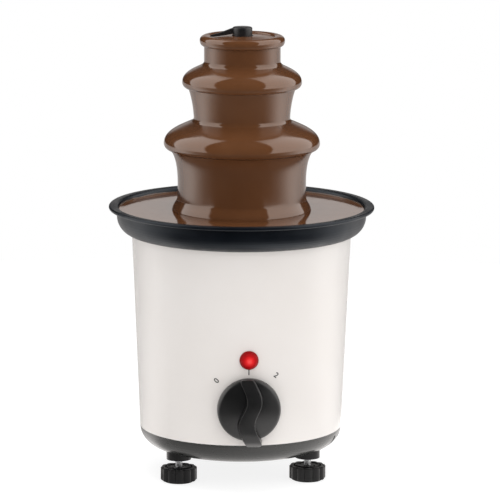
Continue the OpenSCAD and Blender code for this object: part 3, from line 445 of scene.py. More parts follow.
def casing_enamel():
    material, tree, shader = new_material("casing_enamel")
    place = own_place(tree)
    cloud = grain(tree, place, 14.0, 3.0)
    peel = grain(tree, place, 420.0, 2.0)
    tone = tones(tree, cloud, (0.83, 0.785, 0.75), (0.86, 0.82, 0.79))
    painted(tree, shader, tone, varied(tree, cloud, 0.16, 0.24))
    shader.inputs["Coat Weight"].default_value = 0.15
    shader.inputs["Coat Roughness"].default_value = 0.08
    relief(tree, shader, peel, 0.03 * MM, 0.25)
    return material


# Nearly all of the noise lies in this range
NOISE_RANGE = (0.3, 0.7)
finishes = {}
keep_finish("casing_enamel", casing_enamel())

# %% [markdown]
# ## Coating of the bowl
# The bowl has a blue-black non-stick coating with a fine speckle, and chocolate has wetted its wall
# just above the pool. A second material for the wet strip would need a cut in the mesh. A mask from
# the distance to the axis and the height needs none, and noise makes the strip's edge wavy.


# %% Bowl coating
def mixed(tree, factor, a, b):
    """Two colours mixed by a factor."""
    node = tree.nodes.new("ShaderNodeMix")
    node.data_type = "RGBA"
    tree.links.new(factor, node.inputs["Factor"])
    tree.links.new(a, node.inputs["A"])
    tree.links.new(b, node.inputs["B"])
    return node.outputs["Result"]


def wet_film(tree, place, cloud):
    """One where chocolate has wetted the inside of the bowl's wall."""
    level_place = moved(tree, place, ORIGIN, (1.0, 1.0, 0.0))
    from_axis = vector_math(tree, "LENGTH", level_place).outputs["Value"]
    height = along(tree, place, UP)
    inside = joined(tree, "LESS_THAN", from_axis, BOWL_WALL_R)
    above = joined(tree, "GREATER_THAN", height, POOL_Z - 4.0 * MM)
    wavy = joined(tree, "ADD", height, varied(tree, cloud, -0.5 * MM, 0.5 * MM))
    return times(tree, inside, above, levels(tree, wavy, POOL_Z + 0.5 * MM, POOL_Z + 1.1 * MM, 1.0, 0.0))


def bowl_coating():
    material, tree, shader = new_material("bowl_coating")
    place = own_place(tree)
    speckle = grain(tree, place, 3200.0, 2.0)
    cloud = grain(tree, place, 45.0, 4.0)
    film = wet_film(tree, place, cloud)
    coating = tones(tree, cloud, (0.0020, 0.0031, 0.0056), (0.0036, 0.0050, 0.0084))
    brown = tones(tree, cloud, (0.200, 0.140, 0.102), (0.255, 0.184, 0.138))
    dry, wet = varied(tree, cloud, 0.30, 0.42), levels(tree, film, 0.0, 1.0, 0.0, 0.18)
    painted(tree, shader, mixed(tree, film, coating, brown), joined(tree, "SUBTRACT", dry, wet))
    shader.inputs["Specular IOR Level"].default_value = 0.34
    shader.inputs["Specular Tint"].default_value = (0.80, 0.90, 1.0, 1.0)
    relief(tree, shader, speckle, 0.04 * MM, 0.35)
    return material


POOL_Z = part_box("chocolate_pool")[1].z
BOWL_WALL_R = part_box("chocolate_pool")[1].x + 1.2 * MM
keep_finish("bowl_coating", bowl_coating())
print("pool at", round(POOL_Z / MM, 1), "mm, inside a wall of radius", round(BOWL_WALL_R / MM, 1), "mm")

# %% [markdown]
# ## Melted chocolate
# Melted chocolate is a dark brown with a wet skin, which mirrors more than plastic does. Where it falls
# or lies nearly flat on a tier the skin is stirred, so the gloss is softer there than on the slopes.
# The surface's own direction tells these places apart, and long faint streaks follow the fall.


# %% Chocolate
def on_tower(tree, place):
    """One on the tower and nothing in the bowl."""
    return levels(tree, along(tree, place, UP), POOL_Z + 4.0 * MM, POOL_Z + 8.0 * MM, 0.0, 1.0)


def melted_chocolate():
    material, tree, shader = new_material("melted_chocolate")
    place = own_place(tree)
    cloud = grain(tree, place, 26.0, 3.0)
    streaks = grain(tree, place, 160.0, 3.0, (1.0, 1.0, 0.06))
    tone = tones(tree, cloud, (0.112, 0.043, 0.0165), (0.130, 0.052, 0.021))
    slope = along(tree, tree.nodes.new("ShaderNodeNewGeometry").outputs["Normal"], UP)
    falling = levels(tree, slope, -0.3, 0.25, 0.15, 0.0)
    lying = times(tree, levels(tree, slope, 0.78, 0.97, 0.0, 0.15), on_tower(tree, place))
    stirred = joined(tree, "ADD", falling, lying)
    painted(tree, shader, tone, joined(tree, "ADD", stirred, varied(tree, streaks, 0.07, 0.11)))
    shader.inputs["Specular IOR Level"].default_value = 0.9
    shader.inputs["Specular Tint"].default_value = (1.0, 0.90, 0.83, 1.0)
    relief(tree, shader, streaks, 0.1 * MM, 0.06)
    return material


keep_finish("chocolate", melted_chocolate())

# %% [markdown]
# ## Moulded and cast pieces
# The tray, the feet, the knob and most pieces inside are moulded plastic, and the motor and the heater
# are plain cast or pressed metal. They differ in colour, gloss and fineness, but the layers are the
# same, so one function makes them all from a table, and a new plastic is a new row.


# %% Plastics and plain metal
def moulded(name, dark, light, gloss, lumps=2400.0, depth=0.04, metallic=0.0, mirror=0.5):
    """Cloudy colour, uneven gloss and a fine skin, whose depth is in millimetres."""
    material, tree, shader = new_material(name)
    place = own_place(tree)
    cloud = grain(tree, place, 60.0, 4.0)
    skin = grain(tree, place, lumps, 2.0)
    painted(tree, shader, tones(tree, cloud, dark, light), varied(tree, cloud, *gloss))
    shader.inputs["Metallic"].default_value = metallic
    shader.inputs["Specular IOR Level"].default_value = mirror
    relief(tree, shader, skin, depth * MM, 0.4)
    return material


# Darkest and lightest colour, lowest and highest roughness, and what differs from the usual
MOULDED = {
    "tray_plastic": (
        (0.013, 0.014, 0.013), (0.017, 0.018, 0.017), (0.22, 0.30),
        {"lumps": 3000.0, "depth": 0.03, "mirror": 0.65}),
    "tower_plastic": ((0.024, 0.020, 0.018), (0.034, 0.028, 0.025), (0.28, 0.40), {}),
    "auger_plastic": ((0.009, 0.009, 0.010), (0.014, 0.014, 0.015), (0.26, 0.38), {}),
    "knob_plastic": (
        (0.0060, 0.0060, 0.0064), (0.0092, 0.0092, 0.0096), (0.28, 0.38), {"lumps": 3400.0, "mirror": 0.6}),
    "foot_plastic": (
        (0.007, 0.007, 0.0075), (0.0105, 0.0105, 0.0110), (0.26, 0.36), {"lumps": 2800.0, "mirror": 0.22}),
    "pad_rubber": ((0.022, 0.022, 0.022), (0.034, 0.034, 0.033), (0.70, 0.86), {"lumps": 1800.0}),
    "motor_can": (
        (0.46, 0.46, 0.47), (0.54, 0.54, 0.55), (0.34, 0.46),
        {"lumps": 900.0, "depth": 0.03, "metallic": 1.0}),
    "heater_alloy": (
        (0.36, 0.32, 0.26), (0.46, 0.42, 0.36), (0.44, 0.60),
        {"lumps": 700.0, "depth": 0.05, "metallic": 1.0}),
    "gear_nylon": ((0.68, 0.65, 0.57), (0.75, 0.72, 0.65), (0.46, 0.58), {}),
    "pale_plastic": ((0.68, 0.66, 0.59), (0.75, 0.73, 0.68), (0.42, 0.54), {}),
    "switch_plastic": ((0.016, 0.016, 0.018), (0.024, 0.024, 0.026), (0.44, 0.56), {}),
}
for slot, (dark, light, gloss, special) in MOULDED.items():
    keep_finish(slot, moulded(slot, dark, light, gloss, **special))

# %% [markdown]
# ## Turned metal
# Screws, shafts and bushes are cut on a lathe, which leaves fine bands across their length. Noise that
# is stretched flat gives the bands, in the gloss as well as in the relief, with no picture to fit.


# %% Steel and brass
def turned_metal(name, dark, light, gloss):
    material, tree, shader = new_material(name)
    place = own_place(tree)
    cloud = grain(tree, place, 120.0, 4.0)
    rings = grain(tree, place, 5200.0, 2.0, (0.04, 0.04, 1.0))
    painted(tree, shader, tones(tree, cloud, dark, light), varied(tree, rings, *gloss))
    shader.inputs["Metallic"].default_value = 1.0
    relief(tree, shader, rings, 0.03 * MM, 0.3)
    return material


# Darkest and lightest colour, lowest and highest roughness
TURNED = {
    "zinc_steel": ((0.66, 0.67, 0.68), (0.78, 0.79, 0.80), (0.36, 0.48)),
    "shaft_steel": ((0.56, 0.56, 0.57), (0.64, 0.64, 0.65), (0.16, 0.28)),
    "bush_brass": ((0.52, 0.35, 0.12), (0.60, 0.42, 0.17), (0.20, 0.32)),
}
for slot, (dark, light, gloss) in TURNED.items():
    keep_finish(slot, turned_metal(slot, dark, light, gloss))

# %% [markdown]
# ## Red of the lamp
# The lamp's red lens is lighter in the middle, where its little bulb stands behind it. Real glass and
# a light inside would need many more rays, so the bulb's light is a painted glow: a colour that falls
# off from the lens's middle, light pink there and deep red at the edge.


# %% Lens red
def lamp_red():
    material, tree, shader = new_material("lamp_red")
    place = own_place(tree)
    low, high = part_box("lamp_lens")
    radius = (high.x - low.x) / 2
    offset = moved(tree, place, (low + high) / 2, (1.0, 0.0, 1.0))
    from_middle = vector_math(tree, "LENGTH", offset).outputs["Value"]
    speck = grain(tree, place, 900.0, 2.0)
    out = levels(tree, from_middle, 0.0, radius, 0.0, 1.0)
    # Painted glow of the bulb: the red is lightest in the lens's middle and deepens towards its edge
    glow = shades(
        tree, joined(tree, "ADD", out, varied(tree, speck, -0.03, 0.03)),
        (0.0, (0.90, 0.075, 0.072)), (0.24, (0.80, 0.018, 0.020)),
        (0.6, (0.52, 0.001, 0.004)), (1.0, (0.30, 0.001, 0.003)))
    painted(tree, shader, glow, varied(tree, speck, 0.44, 0.52))
    shader.inputs["Specular IOR Level"].default_value = 0.12
    return material


keep_finish("lamp_red", lamp_red())

# %% [markdown]
# ## Dressing the frame
# The record names a material slot for every node. The table from slot to finish dresses all nodes at
# once, the hidden ones inside the casing as well, because the model is also used opened up.

# %% Dress every node
for part in frame["record"]["subparts"]:
    node = nodes[part["node"]]
    finish = finishes[part["material_slot"]]
    if node.material_slots:
        for slot in node.material_slots:
            slot.material = finish
    else:
        node.data.materials.append(finish)
print("finishes:", len(finishes), "nodes:", len(nodes))

# %% [markdown]
# ## Chocolate on the tower
# On the real fountain the screw lifts chocolate to the crown, and it runs over each tier and falls as
# a smooth curtain to the next. A fluid simulation would give lumps where the real flow is calm, so
# each tier's chocolate is turned from a profile: over the dome, round the lip, down the curtain, with
# a small flare where it lands. A profile is a chain of points in a half plane. Its curved stretches
# are ovals, or cubic curves from a start to an end with a handle at each.


# %% Profiles of the tiers
def at(radius, height):
    """A point of a profile, given in millimetres."""
    return Vector((radius * MM, 0.0, height * MM))


def oval(centre, width, height, first, last, count):
    """A stretch of an oval between two angles."""
    points = []
    for k in range(count + 1):
        angle = math.radians(first + (last - first) * k / count)
        points.append(centre + at(width * math.cos(angle), height * math.sin(angle)))
    return points


def lip(wide, size):
    """The rounded edge under a tier's widest line."""
    return oval(wide - at(size[0], 0.0), size[0], size[1], 0.0, -90.0, 8)[1:]


def tier(neck, wide):
    """Upper side of a tier, from its neck to the lower edge of its lip."""
    run = wide.x - neck.x
    fall = neck.z - wide.z
    out = neck + Vector((NECK_OUT * run, 0.0, -NECK_DOWN * fall))
    back = wide + Vector((0.0, 0.0, WIDE_UP * fall))
    return curve(neck, out, back, wide, 22) + lip(wide, TIER_LIP)


# Handles of a tier's curve, as shares of its run and its fall
NECK_OUT, NECK_DOWN, WIDE_UP = 0.4, 0.28, 0.5
# Width and depth of the lips in millimetres
TIER_LIP = (2.0, 2.2)
CROWN_LIP = (0.9, 2.0)
BRIM_R, CROWN_R, CROWN_Z = 24.4, 26.6, 294.6
DRUM_NECK, DRUM_SIDE = at(43.4, 184.0), at(45.8, 179.5)
lower_line = tier(at(31.25, 239.4), at(50.4, 225.5))
middle_line = tier(at(24.6, 277.2), at(38.2, 266.6))
crown_line = oval(at(BRIM_R, CROWN_Z), 2.2, 1.5, 90.0, 0.0, 8) + lip(at(CROWN_R, CROWN_Z), CROWN_LIP)
drum_line = curve(DRUM_NECK, DRUM_NECK + at(1.7, 0.0), DRUM_SIDE + at(0.0, 2.7), DRUM_SIDE, 12)
print("points on the lower tier:", len(lower_line))


# %% Curtains
def beside(line, distance):
    """The line moved to its left as it is walked, by a distance in millimetres."""
    shifted = []
    for k, point in enumerate(line):
        step = line[min(k + 1, len(line) - 1)] - line[max(k - 1, 0)]
        shifted.append(point + Vector((-step.z, 0.0, step.x)).normalized() * distance * MM)
    return shifted


def curtain(line, below, pull, coat, inward=0.0):
    """Outer side of a curtain, from under a lip to a neck: a pull shapes it above, and inward below."""
    top = line[-1] + at(-TUCK, -COAT)
    foot = beside(below, coat)[0] + at(0.0, GAP)
    fall = top - foot
    upper = foot + Vector((pull * fall.x, 0.0, UPPER_SHARE * fall.z))
    lower = foot + Vector((-inward * MM, 0.0, LOWER_SHARE * fall.z))
    return curve(top, upper, lower, foot, 24)


# Millimetres: the coat on the tiers and on the drum, a curtain's thickness, the gap between chocolate
# and plastic, and how far a curtain is tucked under its lip
COAT, DRUM_COAT, CURTAIN, GAP, TUCK = 1.8, 0.8, 1.6, 0.1, 0.2
TIER_PULL, DRUM_PULL = 0.5, -0.35
# Heights of the handles of a curtain's curve, as shares of its fall
UPPER_SHARE, LOWER_SHARE = 0.8, 0.35
crown_front = curtain(crown_line, middle_line, TIER_PULL, COAT)
middle_front = curtain(middle_line, lower_line, TIER_PULL, COAT)
lower_front = curtain(lower_line, drum_line, DRUM_PULL, DRUM_COAT, inward=0.8)
for front in (crown_front, middle_front, lower_front):
    print("a curtain falls by", round((front[0].z - front[-1].z) / MM, 1), "mm")

# %% [markdown]
# ## From a profile to a piece
# Nearly everything round on this object is a profile turned about an axis, which the spin operator
# does. A finished piece has its doubles merged and its faces turned outwards, rides on a body of the
# frame and may stand for a node of it. Chocolate also gets a slow unevenness, because a perfect round
# would give perfect mirror images, which no liquid shows.


# %% Turning and finishing
def turned(points, closed=True, steps=160):
    """A profile spun once round the Z axis."""
    bm = bmesh.new()
    verts = [bm.verts.new(point) for point in points]
    edges = [bm.edges.new(pair) for pair in zip(verts, verts[1:])]
    if closed:
        edges.append(bm.edges.new((verts[-1], verts[0])))
    bmesh.ops.spin(
        bm, geom=verts + edges, cent=ORIGIN, axis=UP, angle=math.tau, steps=steps, use_merge=True)
    return bm


def piece(name, bm, body, slot, replaced=(), sharp=40.0):
    """An object of the fountain made from a bmesh: it rides on a body and stands for CAD nodes."""
    bmesh.ops.remove_doubles(bm, verts=bm.verts, dist=MERGE)
    bmesh.ops.recalc_face_normals(bm, faces=bm.faces)
    for face in bm.faces:
        face.smooth = True
    obj = mesh_object(name, bm, finishes[slot])
    obj.data.set_sharp_from_angle(angle=math.radians(sharp))
    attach(obj, body)
    if replaced:
        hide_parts(*replaced)
    print(name, "faces:", len(obj.data.polygons))


MERGE = 0.001 * MM
print("points closer than", MERGE / MM, "mm are merged")


# %% Flowing chocolate
def held(x):
    """A value held between nothing and one."""
    return min(max(x, 0.0), 1.0)


def uneven(bm, amount, seed):
    """Moves the skin in and out a little, slowly round the tower and even more slowly down it."""
    for vert in bm.verts:
        out = Vector((vert.co.x, vert.co.y, 0.0))
        if out.length < THROAT_R:
            continue
        way = out.normalized()
        spot = Vector((way.x * WAVES_ROUND, way.y * WAVES_ROUND, vert.co.z * WAVES_A_METRE + seed))
        fade = held((vert.co.z - CALM_Z) / CALM_FADE)
        vert.co += way * noise.noise(spot) * amount * fade * MM


def flow(name, outline, amount, seed, node):
    """The chocolate of one tier, turned from its whole outline."""
    bm = turned(outline)
    uneven(bm, amount, seed)
    piece(name, bm, "tower", "chocolate", (node,), LIQUID_SHARP)


# Nothing moves near the screw's throat, nor at the skirt, which stays clear of the pool
THROAT_R = 8.0 * MM
CALM_Z, CALM_FADE = 185.0 * MM, 4.0 * MM
WAVES_ROUND, WAVES_A_METRE = 1.3, 22.0
LIQUID_SHARP = 60.0
print("the skin is calm below", round(CALM_Z / MM), "mm")


# %% Flow over the tiers
def upper_side(line):
    """A tier's coat, from its inner edge behind the curtain above to its lip."""
    over = beside(line, COAT)
    inner_r = line[0].x - 2.0 * CURTAIN * MM
    return [Vector((inner_r, 0.0, line[0].z + GAP * MM)), Vector((inner_r, 0.0, over[0].z))] + over


def landing(front, slope):
    """A curtain with the flare at its foot, where it spreads over the tier below."""
    foot = front[-1]
    end = foot + at(FLARE_W, -FLARE_W * slope - FLARE_SINK)
    kept = [p for p in front if p.z > foot.z + FLARE_H * MM]
    flare = curve(kept[-1], kept[-1] + at(0.0, -1.5), foot + at(0.35, 0.2), end, 14)
    return kept[:-1] + flare + [foot + at(-0.4, -1.2)]


def behind(line, front):
    """The way back up: the curtain's inner side and the underside of the tier's coat."""
    inner = beside(front, -CURTAIN)[::-1]
    corner = Vector((front[0].x - CURTAIN * MM, 0.0, line[-1].z - GAP * MM))
    return inner + [corner] + beside(line, GAP)[::-1]


def crown_flow():
    """A shallow dish round the screw's head, its brim and the first curtain."""
    throat, dish_z, floor_z, under_r = 7.2, 296.7, 294.3, 22.6
    brim_w, brim_h = 3.0, 1.2
    brim = oval(at(BRIM_R, dish_z), brim_w, brim_h, 90.0, 180.0, 8)[::-1]
    swell = curve(at(throat, dish_z + 1.0), at(12.0, dish_z + 0.8), at(16.0, dish_z + 0.1), brim[0], 10)
    dish = [at(throat, floor_z)] + swell[:-1] + brim + beside(crown_line, COAT)[1:]
    under = behind(crown_line, crown_front) + [at(under_r, floor_z)]
    flow("crown_flow", dish + landing(crown_front, 0.45) + under, 0.25, 3.0, "crown_cascade")


def middle_flow():
    """The middle tier's coat and the second curtain."""
    outside = upper_side(middle_line) + landing(middle_front, 0.57)
    flow("middle_flow", outside + behind(middle_line, middle_front), 0.35, 7.0, "middle_cascade")


def lower_flow():
    """The last curtain runs on as a skirt over the drum and into the pool."""
    side_z, skirt_h, hem_z = 180.3, 3.0, 177.0 * MM
    side = at(DRUM_SIDE.x / MM + DRUM_COAT, side_z)
    fall = [p for p in lower_front if p.z > lower_front[-1].z + skirt_h * MM]
    skirt = curve(fall[-1], fall[-1] + at(0.05, -2.2), side + at(0.0, 3.0), side, 20)[1:]
    hem = [Vector((skirt[-1].x, 0.0, hem_z)), Vector((drum_line[-1].x + GAP * MM, 0.0, hem_z))]
    under = beside(drum_line, GAP)[::-1]
    step = [Vector((lower_front[-1].x - CURTAIN * MM, 0.0, under[-1].z))]
    outside = upper_side(lower_line) + fall + skirt + hem
    inside = under + step + behind(lower_line, lower_front)[1:]
    flow("lower_flow", outside + inside, 0.35, 11.0, "lower_cascade")


# Width and height of a flare, and how far its edge sinks into the coat below
FLARE_W, FLARE_H, FLARE_SINK = 1.5, 2.0, 0.12
crown_flow()
middle_flow()
lower_flow()

# %% [markdown]
# ## Chocolate in the bowl
# The pool is nearly flat, but a liquid climbs a little where it touches a wall. That thin rim of
# raised liquid catches the light and tells the eye that the surface is wet, so the profile has it at
# the bowl's wall. The underside follows the bowl.


# %% Pool
def pool():
    low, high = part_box("chocolate_pool")
    wall, top, bottom = high.x / MM, high.z / MM, low.z / MM
    hole = DRUM_SIDE.x / MM + DRUM_COAT + 0.05
    beach_r, climb = wall - 3.0, 0.3
    knee_r, knee_z, upright_z = 72.6, 166.1, 176.5
    well, corner = 68.4, 5.4
    rings = 12
    flat = [at(hole + (beach_r - hole) * k / rings, top) for k in range(rings)]
    beach = curve(
        at(beach_r, top), at(wall - 1.2, top), at(wall - 0.3, top + 0.2), at(wall, top + climb), 9)
    side = oval(at(knee_r, upright_z), wall - knee_r, upright_z - knee_z, -90.0, 0.0, 10)
    bend = oval(at(well - corner, bottom + corner), corner, corner, -90.0, 0.0, 8)
    under = side[::-1] + [at(well, knee_z)] + bend[::-1] + [at(hole, bottom)]
    piece("bowl_pool", turned(flat + beach + under), "base", "chocolate", ("chocolate_pool",), LIQUID_SHARP)


pool()

# %% [markdown]
# ## Places on the casing
# The casing narrows towards the foot, so the knob and the lamp lean with its wall. One matrix takes
# a piece from a flat drawing board, with +Z out of the wall and +Y up it, to its place.


# %% Wall matrix
def casing_radius(z):
    """Radius of the casing's wall at a height."""
    return CASING_R_FOOT + (z - casing_low.z) * math.tan(taper)


def on_wall(z):
    """Matrix of a drawing board that touches the casing's front at a height."""
    lean = Matrix.Rotation(math.pi / 2 + taper, 4, "X")
    return Matrix.Translation((0.0, -casing_radius(z), z)) @ lean


casing_low, casing_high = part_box("casing")
CASING_R_FOOT, CASING_R_TOP = 67.8 * MM, 73.5 * MM
KNOB_Z, LAMP_Z = 59.0 * MM, 91.7 * MM
taper = math.atan((CASING_R_TOP - CASING_R_FOOT) / (casing_high.z - casing_low.z))
print("the wall leans by", round(math.degrees(taper), 2), "degrees")

# %% [markdown]
# ## Knob
# The knob is a shallow dome with a grip that sways like an S and hangs over the lower edge. The dome
# is turned. The grip starts as one face, which is extruded station by station along the S, so its
# walls follow the curve without seams. Its right edge is softer than its left one.

# %% Sizes of the knob
KNOB_R, KNOB_ROOM = 21.0, 1.5
DOME_TOP, DOME_DROP, DOME_EDGE = 10.8, 4.2, 3.2
GRIP_LOW, GRIP_HIGH = -25.2, 20.6
GRIP_H, GRIP_HALF = 5.0, 4.9
# The sway: how far to each side, its middle, the length of a whole wave and the height of its crest
GRIP_SWING, GRIP_SHIFT, GRIP_WAVE, GRIP_PEAK = 2.6, 0.4, 33.0, 8.0
# Height of the grip's foot, and how far it sinks at its upper end and beyond the disc's lower edge:
# by how much, from where on and over what length
GRIP_FOOT = 6.9
SINK, SINK_FROM, SINK_OVER = 2.1, 6.0, 8.0
HANG, HANG_FROM, HANG_OVER = 4.4, 2.0 - KNOB_R, 3.0
# The grip is wider towards its tail, and rises from the disc over a length at its upper end
SWELL, SWELL_FROM, SWELL_OVER = 0.7, 4.0, 18.0
RISE_OVER = 15.0
# Rounded ends, as a length and a least share: the tail from the side and from above, and the upper end
TAIL_SIDE, TAIL_ABOVE, HEAD_ABOVE = (12.0, 0.08), (4.6, 0.25), (3.0, 0.7)
SOFT_EDGE, SHARP_EDGE = 0.8, 0.35
# A rounded edge, as shares of its size inwards and downwards
EDGE_SHARES = ((0.0, 1.0), (0.06, 0.62), (0.29, 0.29), (0.62, 0.06), (1.0, 0.0))
print("grip length in mm:", round(GRIP_HIGH - GRIP_LOW, 1))


# %% Shape of the grip
def round_end(distance, length, least):
    """Grows like a rounded end along a length, from a least share to one."""
    return least + (1.0 - least) * math.sqrt(1.0 - (1.0 - held(distance / length)) ** 2)


def dome_height(y):
    """Height of the disc's face at a distance from its middle."""
    return DOME_TOP - DOME_DROP * held(abs(y) / KNOB_R) ** 2


def shoulder(half, base, top, edge):
    """One side of the grip's outline, from its foot over a rounded edge to the crest."""
    edge = min(edge, 0.6 * (top - base))
    foot = [(half + 0.9, base), (half + 0.35, base + 0.4 * (top - base))]
    return foot + [(half - inward * edge, top - down * edge) for inward, down in EDGE_SHARES]


def grip_section(y):
    """Outline of the grip across its length, as points on the drawing board in millimetres."""
    middle = GRIP_SHIFT + GRIP_SWING * math.cos(math.tau * (y - GRIP_PEAK) / GRIP_WAVE)
    base = GRIP_FOOT - SINK * held((y - SINK_FROM) / SINK_OVER) - HANG * held((HANG_FROM - y) / HANG_OVER)
    rise = GRIP_H * math.sin(math.pi / 2 * held((GRIP_HIGH - y) / RISE_OVER))
    full = dome_height(max(y, 0.0)) + 0.3 + rise
    top = base + (full - base) * round_end(y - GRIP_LOW, *TAIL_SIDE)
    narrow = round_end(y - GRIP_LOW, *TAIL_ABOVE) * round_end(GRIP_HIGH - y, *HEAD_ABOVE)
    half = (GRIP_HALF + SWELL * held((SWELL_FROM - y) / SWELL_OVER)) * narrow
    soft = shoulder(half, base, top, SOFT_EDGE * narrow)
    sharp = [(-x, z) for x, z in shoulder(half, base, top, SHARP_EDGE * narrow)]
    return [Vector((middle + x, y, z)) * MM for x, z in soft + sharp[::-1]]


print("points in a section of the grip:", len(grip_section(0.0)))


# %% Knob
def loft(bm, sections):
    """One face drawn out from section to section, with both ends closed."""
    face = bm.faces.new([bm.verts.new(point) for point in sections[0]])
    bmesh.ops.duplicate(bm, geom=[face])
    for section in sections[1:]:
        face = bmesh.ops.extrude_discrete_faces(bm, faces=[face])["faces"][0]
        for vert, point in zip(face.verts, section):
            vert.co = point


def grip(bm):
    """The outline drawn out along the S, with closer stations towards both ends."""
    stations = 48
    shares = [(1.0 - math.cos(math.pi * k / stations)) / 2.0 for k in range(stations + 1)]
    loft(bm, [grip_section(GRIP_LOW + (GRIP_HIGH - GRIP_LOW) * share) for share in shares])


def disc_profile():
    """The disc from the middle of its face over the rounded rim into its hollow back."""
    inner, hollow, boss, bore_end = KNOB_R - 2.2, 4.6, 5.5, 3.6
    tilt, rings, bevel = 70.0, 20, 0.3
    edge = at(DOME_EDGE * math.cos(math.radians(tilt)), DOME_EDGE * math.sin(math.radians(tilt)))
    rim = KNOB_R - DOME_EDGE + edge.x / MM
    outside = [at(rim * k / rings, dome_height(rim * k / rings)) for k in range(rings)]
    outside += oval(at(rim, dome_height(rim)) - edge, DOME_EDGE, DOME_EDGE, tilt, 0.0, 8)
    outside += [at(KNOB_R, KNOB_ROOM + bevel), at(KNOB_R - bevel, KNOB_ROOM)]
    inside = [at(inner, KNOB_ROOM), at(inner, hollow), at(boss, hollow), at(boss, bore_end)]
    return outside + inside + [at(0.0, bore_end)]


def knob():
    bm = turned(disc_profile(), closed=False, steps=128)
    grip(bm)
    bmesh.ops.transform(bm, matrix=on_wall(KNOB_Z), verts=bm.verts)
    piece("switch_knob", bm, "control_knob", "knob_plastic", ("knob",), sharp=32.0)


knob()

# %% [markdown]
# ## Lamp
# The lens is a small dome with a flat flange that sits on the enamel. A scaled sphere would need a
# flange joined to it, so both are turned from one profile and then leaned to the wall.


# %% Lens
def lamp():
    low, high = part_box("lamp_lens")
    radius = (high.x - low.x) / 2 / MM
    sunk, flange, bevel, dome = -0.4, 1.2, 0.3, 4.0
    profile = [at(0.0, sunk), at(radius, sunk), at(radius, flange - bevel), at(radius - bevel, flange)]
    profile += oval(at(0.0, flange), radius - 0.5, dome, 0.0, 90.0, 16)
    bm = turned(profile, closed=False, steps=96)
    bmesh.ops.transform(bm, matrix=on_wall(LAMP_Z), verts=bm.verts)
    piece("lamp_dome", bm, "base", "lamp_red", ("lamp_lens",), sharp=30.0)


lamp()

# %% [markdown]
# ## Numbers on the dial
# The three switch positions carry plain numbers. Text is a curve at first. It is made a mesh, turned
# on the drawing board and then laid on the round wall point by point, a hair proud of the enamel.


# %% Numbers
def flat_digit(digit):
    """A digit as a thin mesh on the drawing board."""
    text = bpy.data.curves.new("dial_" + digit, "FONT")
    text.body = digit
    text.size = DIGIT_SIZE
    text.align_x = "CENTER"
    text.align_y = "CENTER"
    text.extrude = INK
    text.offset = BOLDNESS
    holder = bpy.data.objects.new("dial_text", text)
    scene.collection.objects.link(holder)
    shown = holder.evaluated_get(bpy.context.evaluated_depsgraph_get())
    flat = bpy.data.meshes.new_from_object(shown)
    bpy.data.objects.remove(holder)
    bm = bmesh.new()
    bm.from_mesh(flat)
    bpy.data.meshes.remove(flat)
    return bm


def dial_number(digit, across, up, tilt):
    """A printed digit beside the knob, placed from the knob's middle in millimetres."""
    bm = flat_digit(digit)
    turn = Matrix.Rotation(math.radians(tilt), 3, "Z")
    bmesh.ops.rotate(bm, verts=bm.verts, cent=ORIGIN, matrix=turn)
    for vert in bm.verts:
        height = KNOB_Z + (up * MM + vert.co.y) * math.cos(taper)
        radius = casing_radius(height) + PROUD + vert.co.z
        angle = (across * MM + vert.co.x) / radius
        vert.co = Vector((radius * math.sin(angle), -radius * math.cos(angle), height))
    piece("dial_number_" + digit, bm, "base", "switch_plastic")


DIGIT_SIZE, BOLDNESS = 5.2 * MM, 0.07 * MM
INK, PROUD = 0.03 * MM, 0.04 * MM
dial_number("0", -21.4, 18.4, 50.0)
dial_number("1", 0.0, 24.2, 0.0)
dial_number("2", 18.4, 21.8, -42.0)

# %% [markdown]
# ## Threaded studs
# A thread is a short zigzag that is spun and lifted by one pitch a turn. Where each turn ends the
# next one starts, so merging the doubles gives one skin. Two cuts make its ends flat.


# %% Studs
def thread(crest, first, turns):
    """A thread round the Z axis from a height on, for a number of turns."""
    root = crest - THREAD_DEPTH
    zigzag = ((root, 0.0), (crest, 0.35), (crest, 0.5), (root, 0.85), (root, 1.0))
    bm = bmesh.new()
    verts = [bm.verts.new(at(radius, first + share * PITCH)) for radius, share in zigzag]
    edges = [bm.edges.new(pair) for pair in zip(verts, verts[1:])]
    bmesh.ops.spin(
        bm, geom=verts + edges, cent=ORIGIN, axis=UP, angle=math.tau * turns,
        dvec=UP * (PITCH * MM / THREAD_STEPS), steps=THREAD_STEPS * turns, use_merge=False)
    bmesh.ops.remove_doubles(bm, verts=bm.verts, dist=0.005 * MM)
    return bm


def stud(k):
    """A threaded stud in the place of the plain one, cut flat at both ends."""
    low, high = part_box("foot_stud_%d" % k)
    middle = (low + high) / 2
    turns = math.ceil((high.z - low.z) / MM / PITCH) + 2
    bm = thread((high.x - low.x) / 2 / MM, low.z / MM - PITCH, turns)
    for height, side in ((low.z, -1.0), (high.z, 1.0)):
        cut = bmesh.ops.bisect_plane(
            bm, geom=bm.verts[:] + bm.edges[:] + bm.faces[:], dist=0.0001 * MM,
            plane_co=UP * height, plane_no=UP * side, clear_outer=True)
        rim = [g for g in cut["geom_cut"] if isinstance(g, bmesh.types.BMEdge)]
        bmesh.ops.edgeloop_fill(bm, edges=rim)
    bmesh.ops.translate(bm, verts=bm.verts, vec=(middle.x, middle.y, 0.0))
    node = "foot_stud_%d" % k
    piece("threaded_stud_%d" % k, bm, "foot_screw_%d" % k, "zinc_steel", (node,), sharp=30.0)


PITCH, THREAD_DEPTH, THREAD_STEPS = 0.8, 0.42, 28
FEET = (1, 2, 3)
for foot in FEET:
    stud(foot)

# %% [markdown]
# ## Rings on the wheels
# Each hand wheel has a thin rounded ridge round its middle, which catches the light. It is turned from
# a half oval and rides with the wheel.


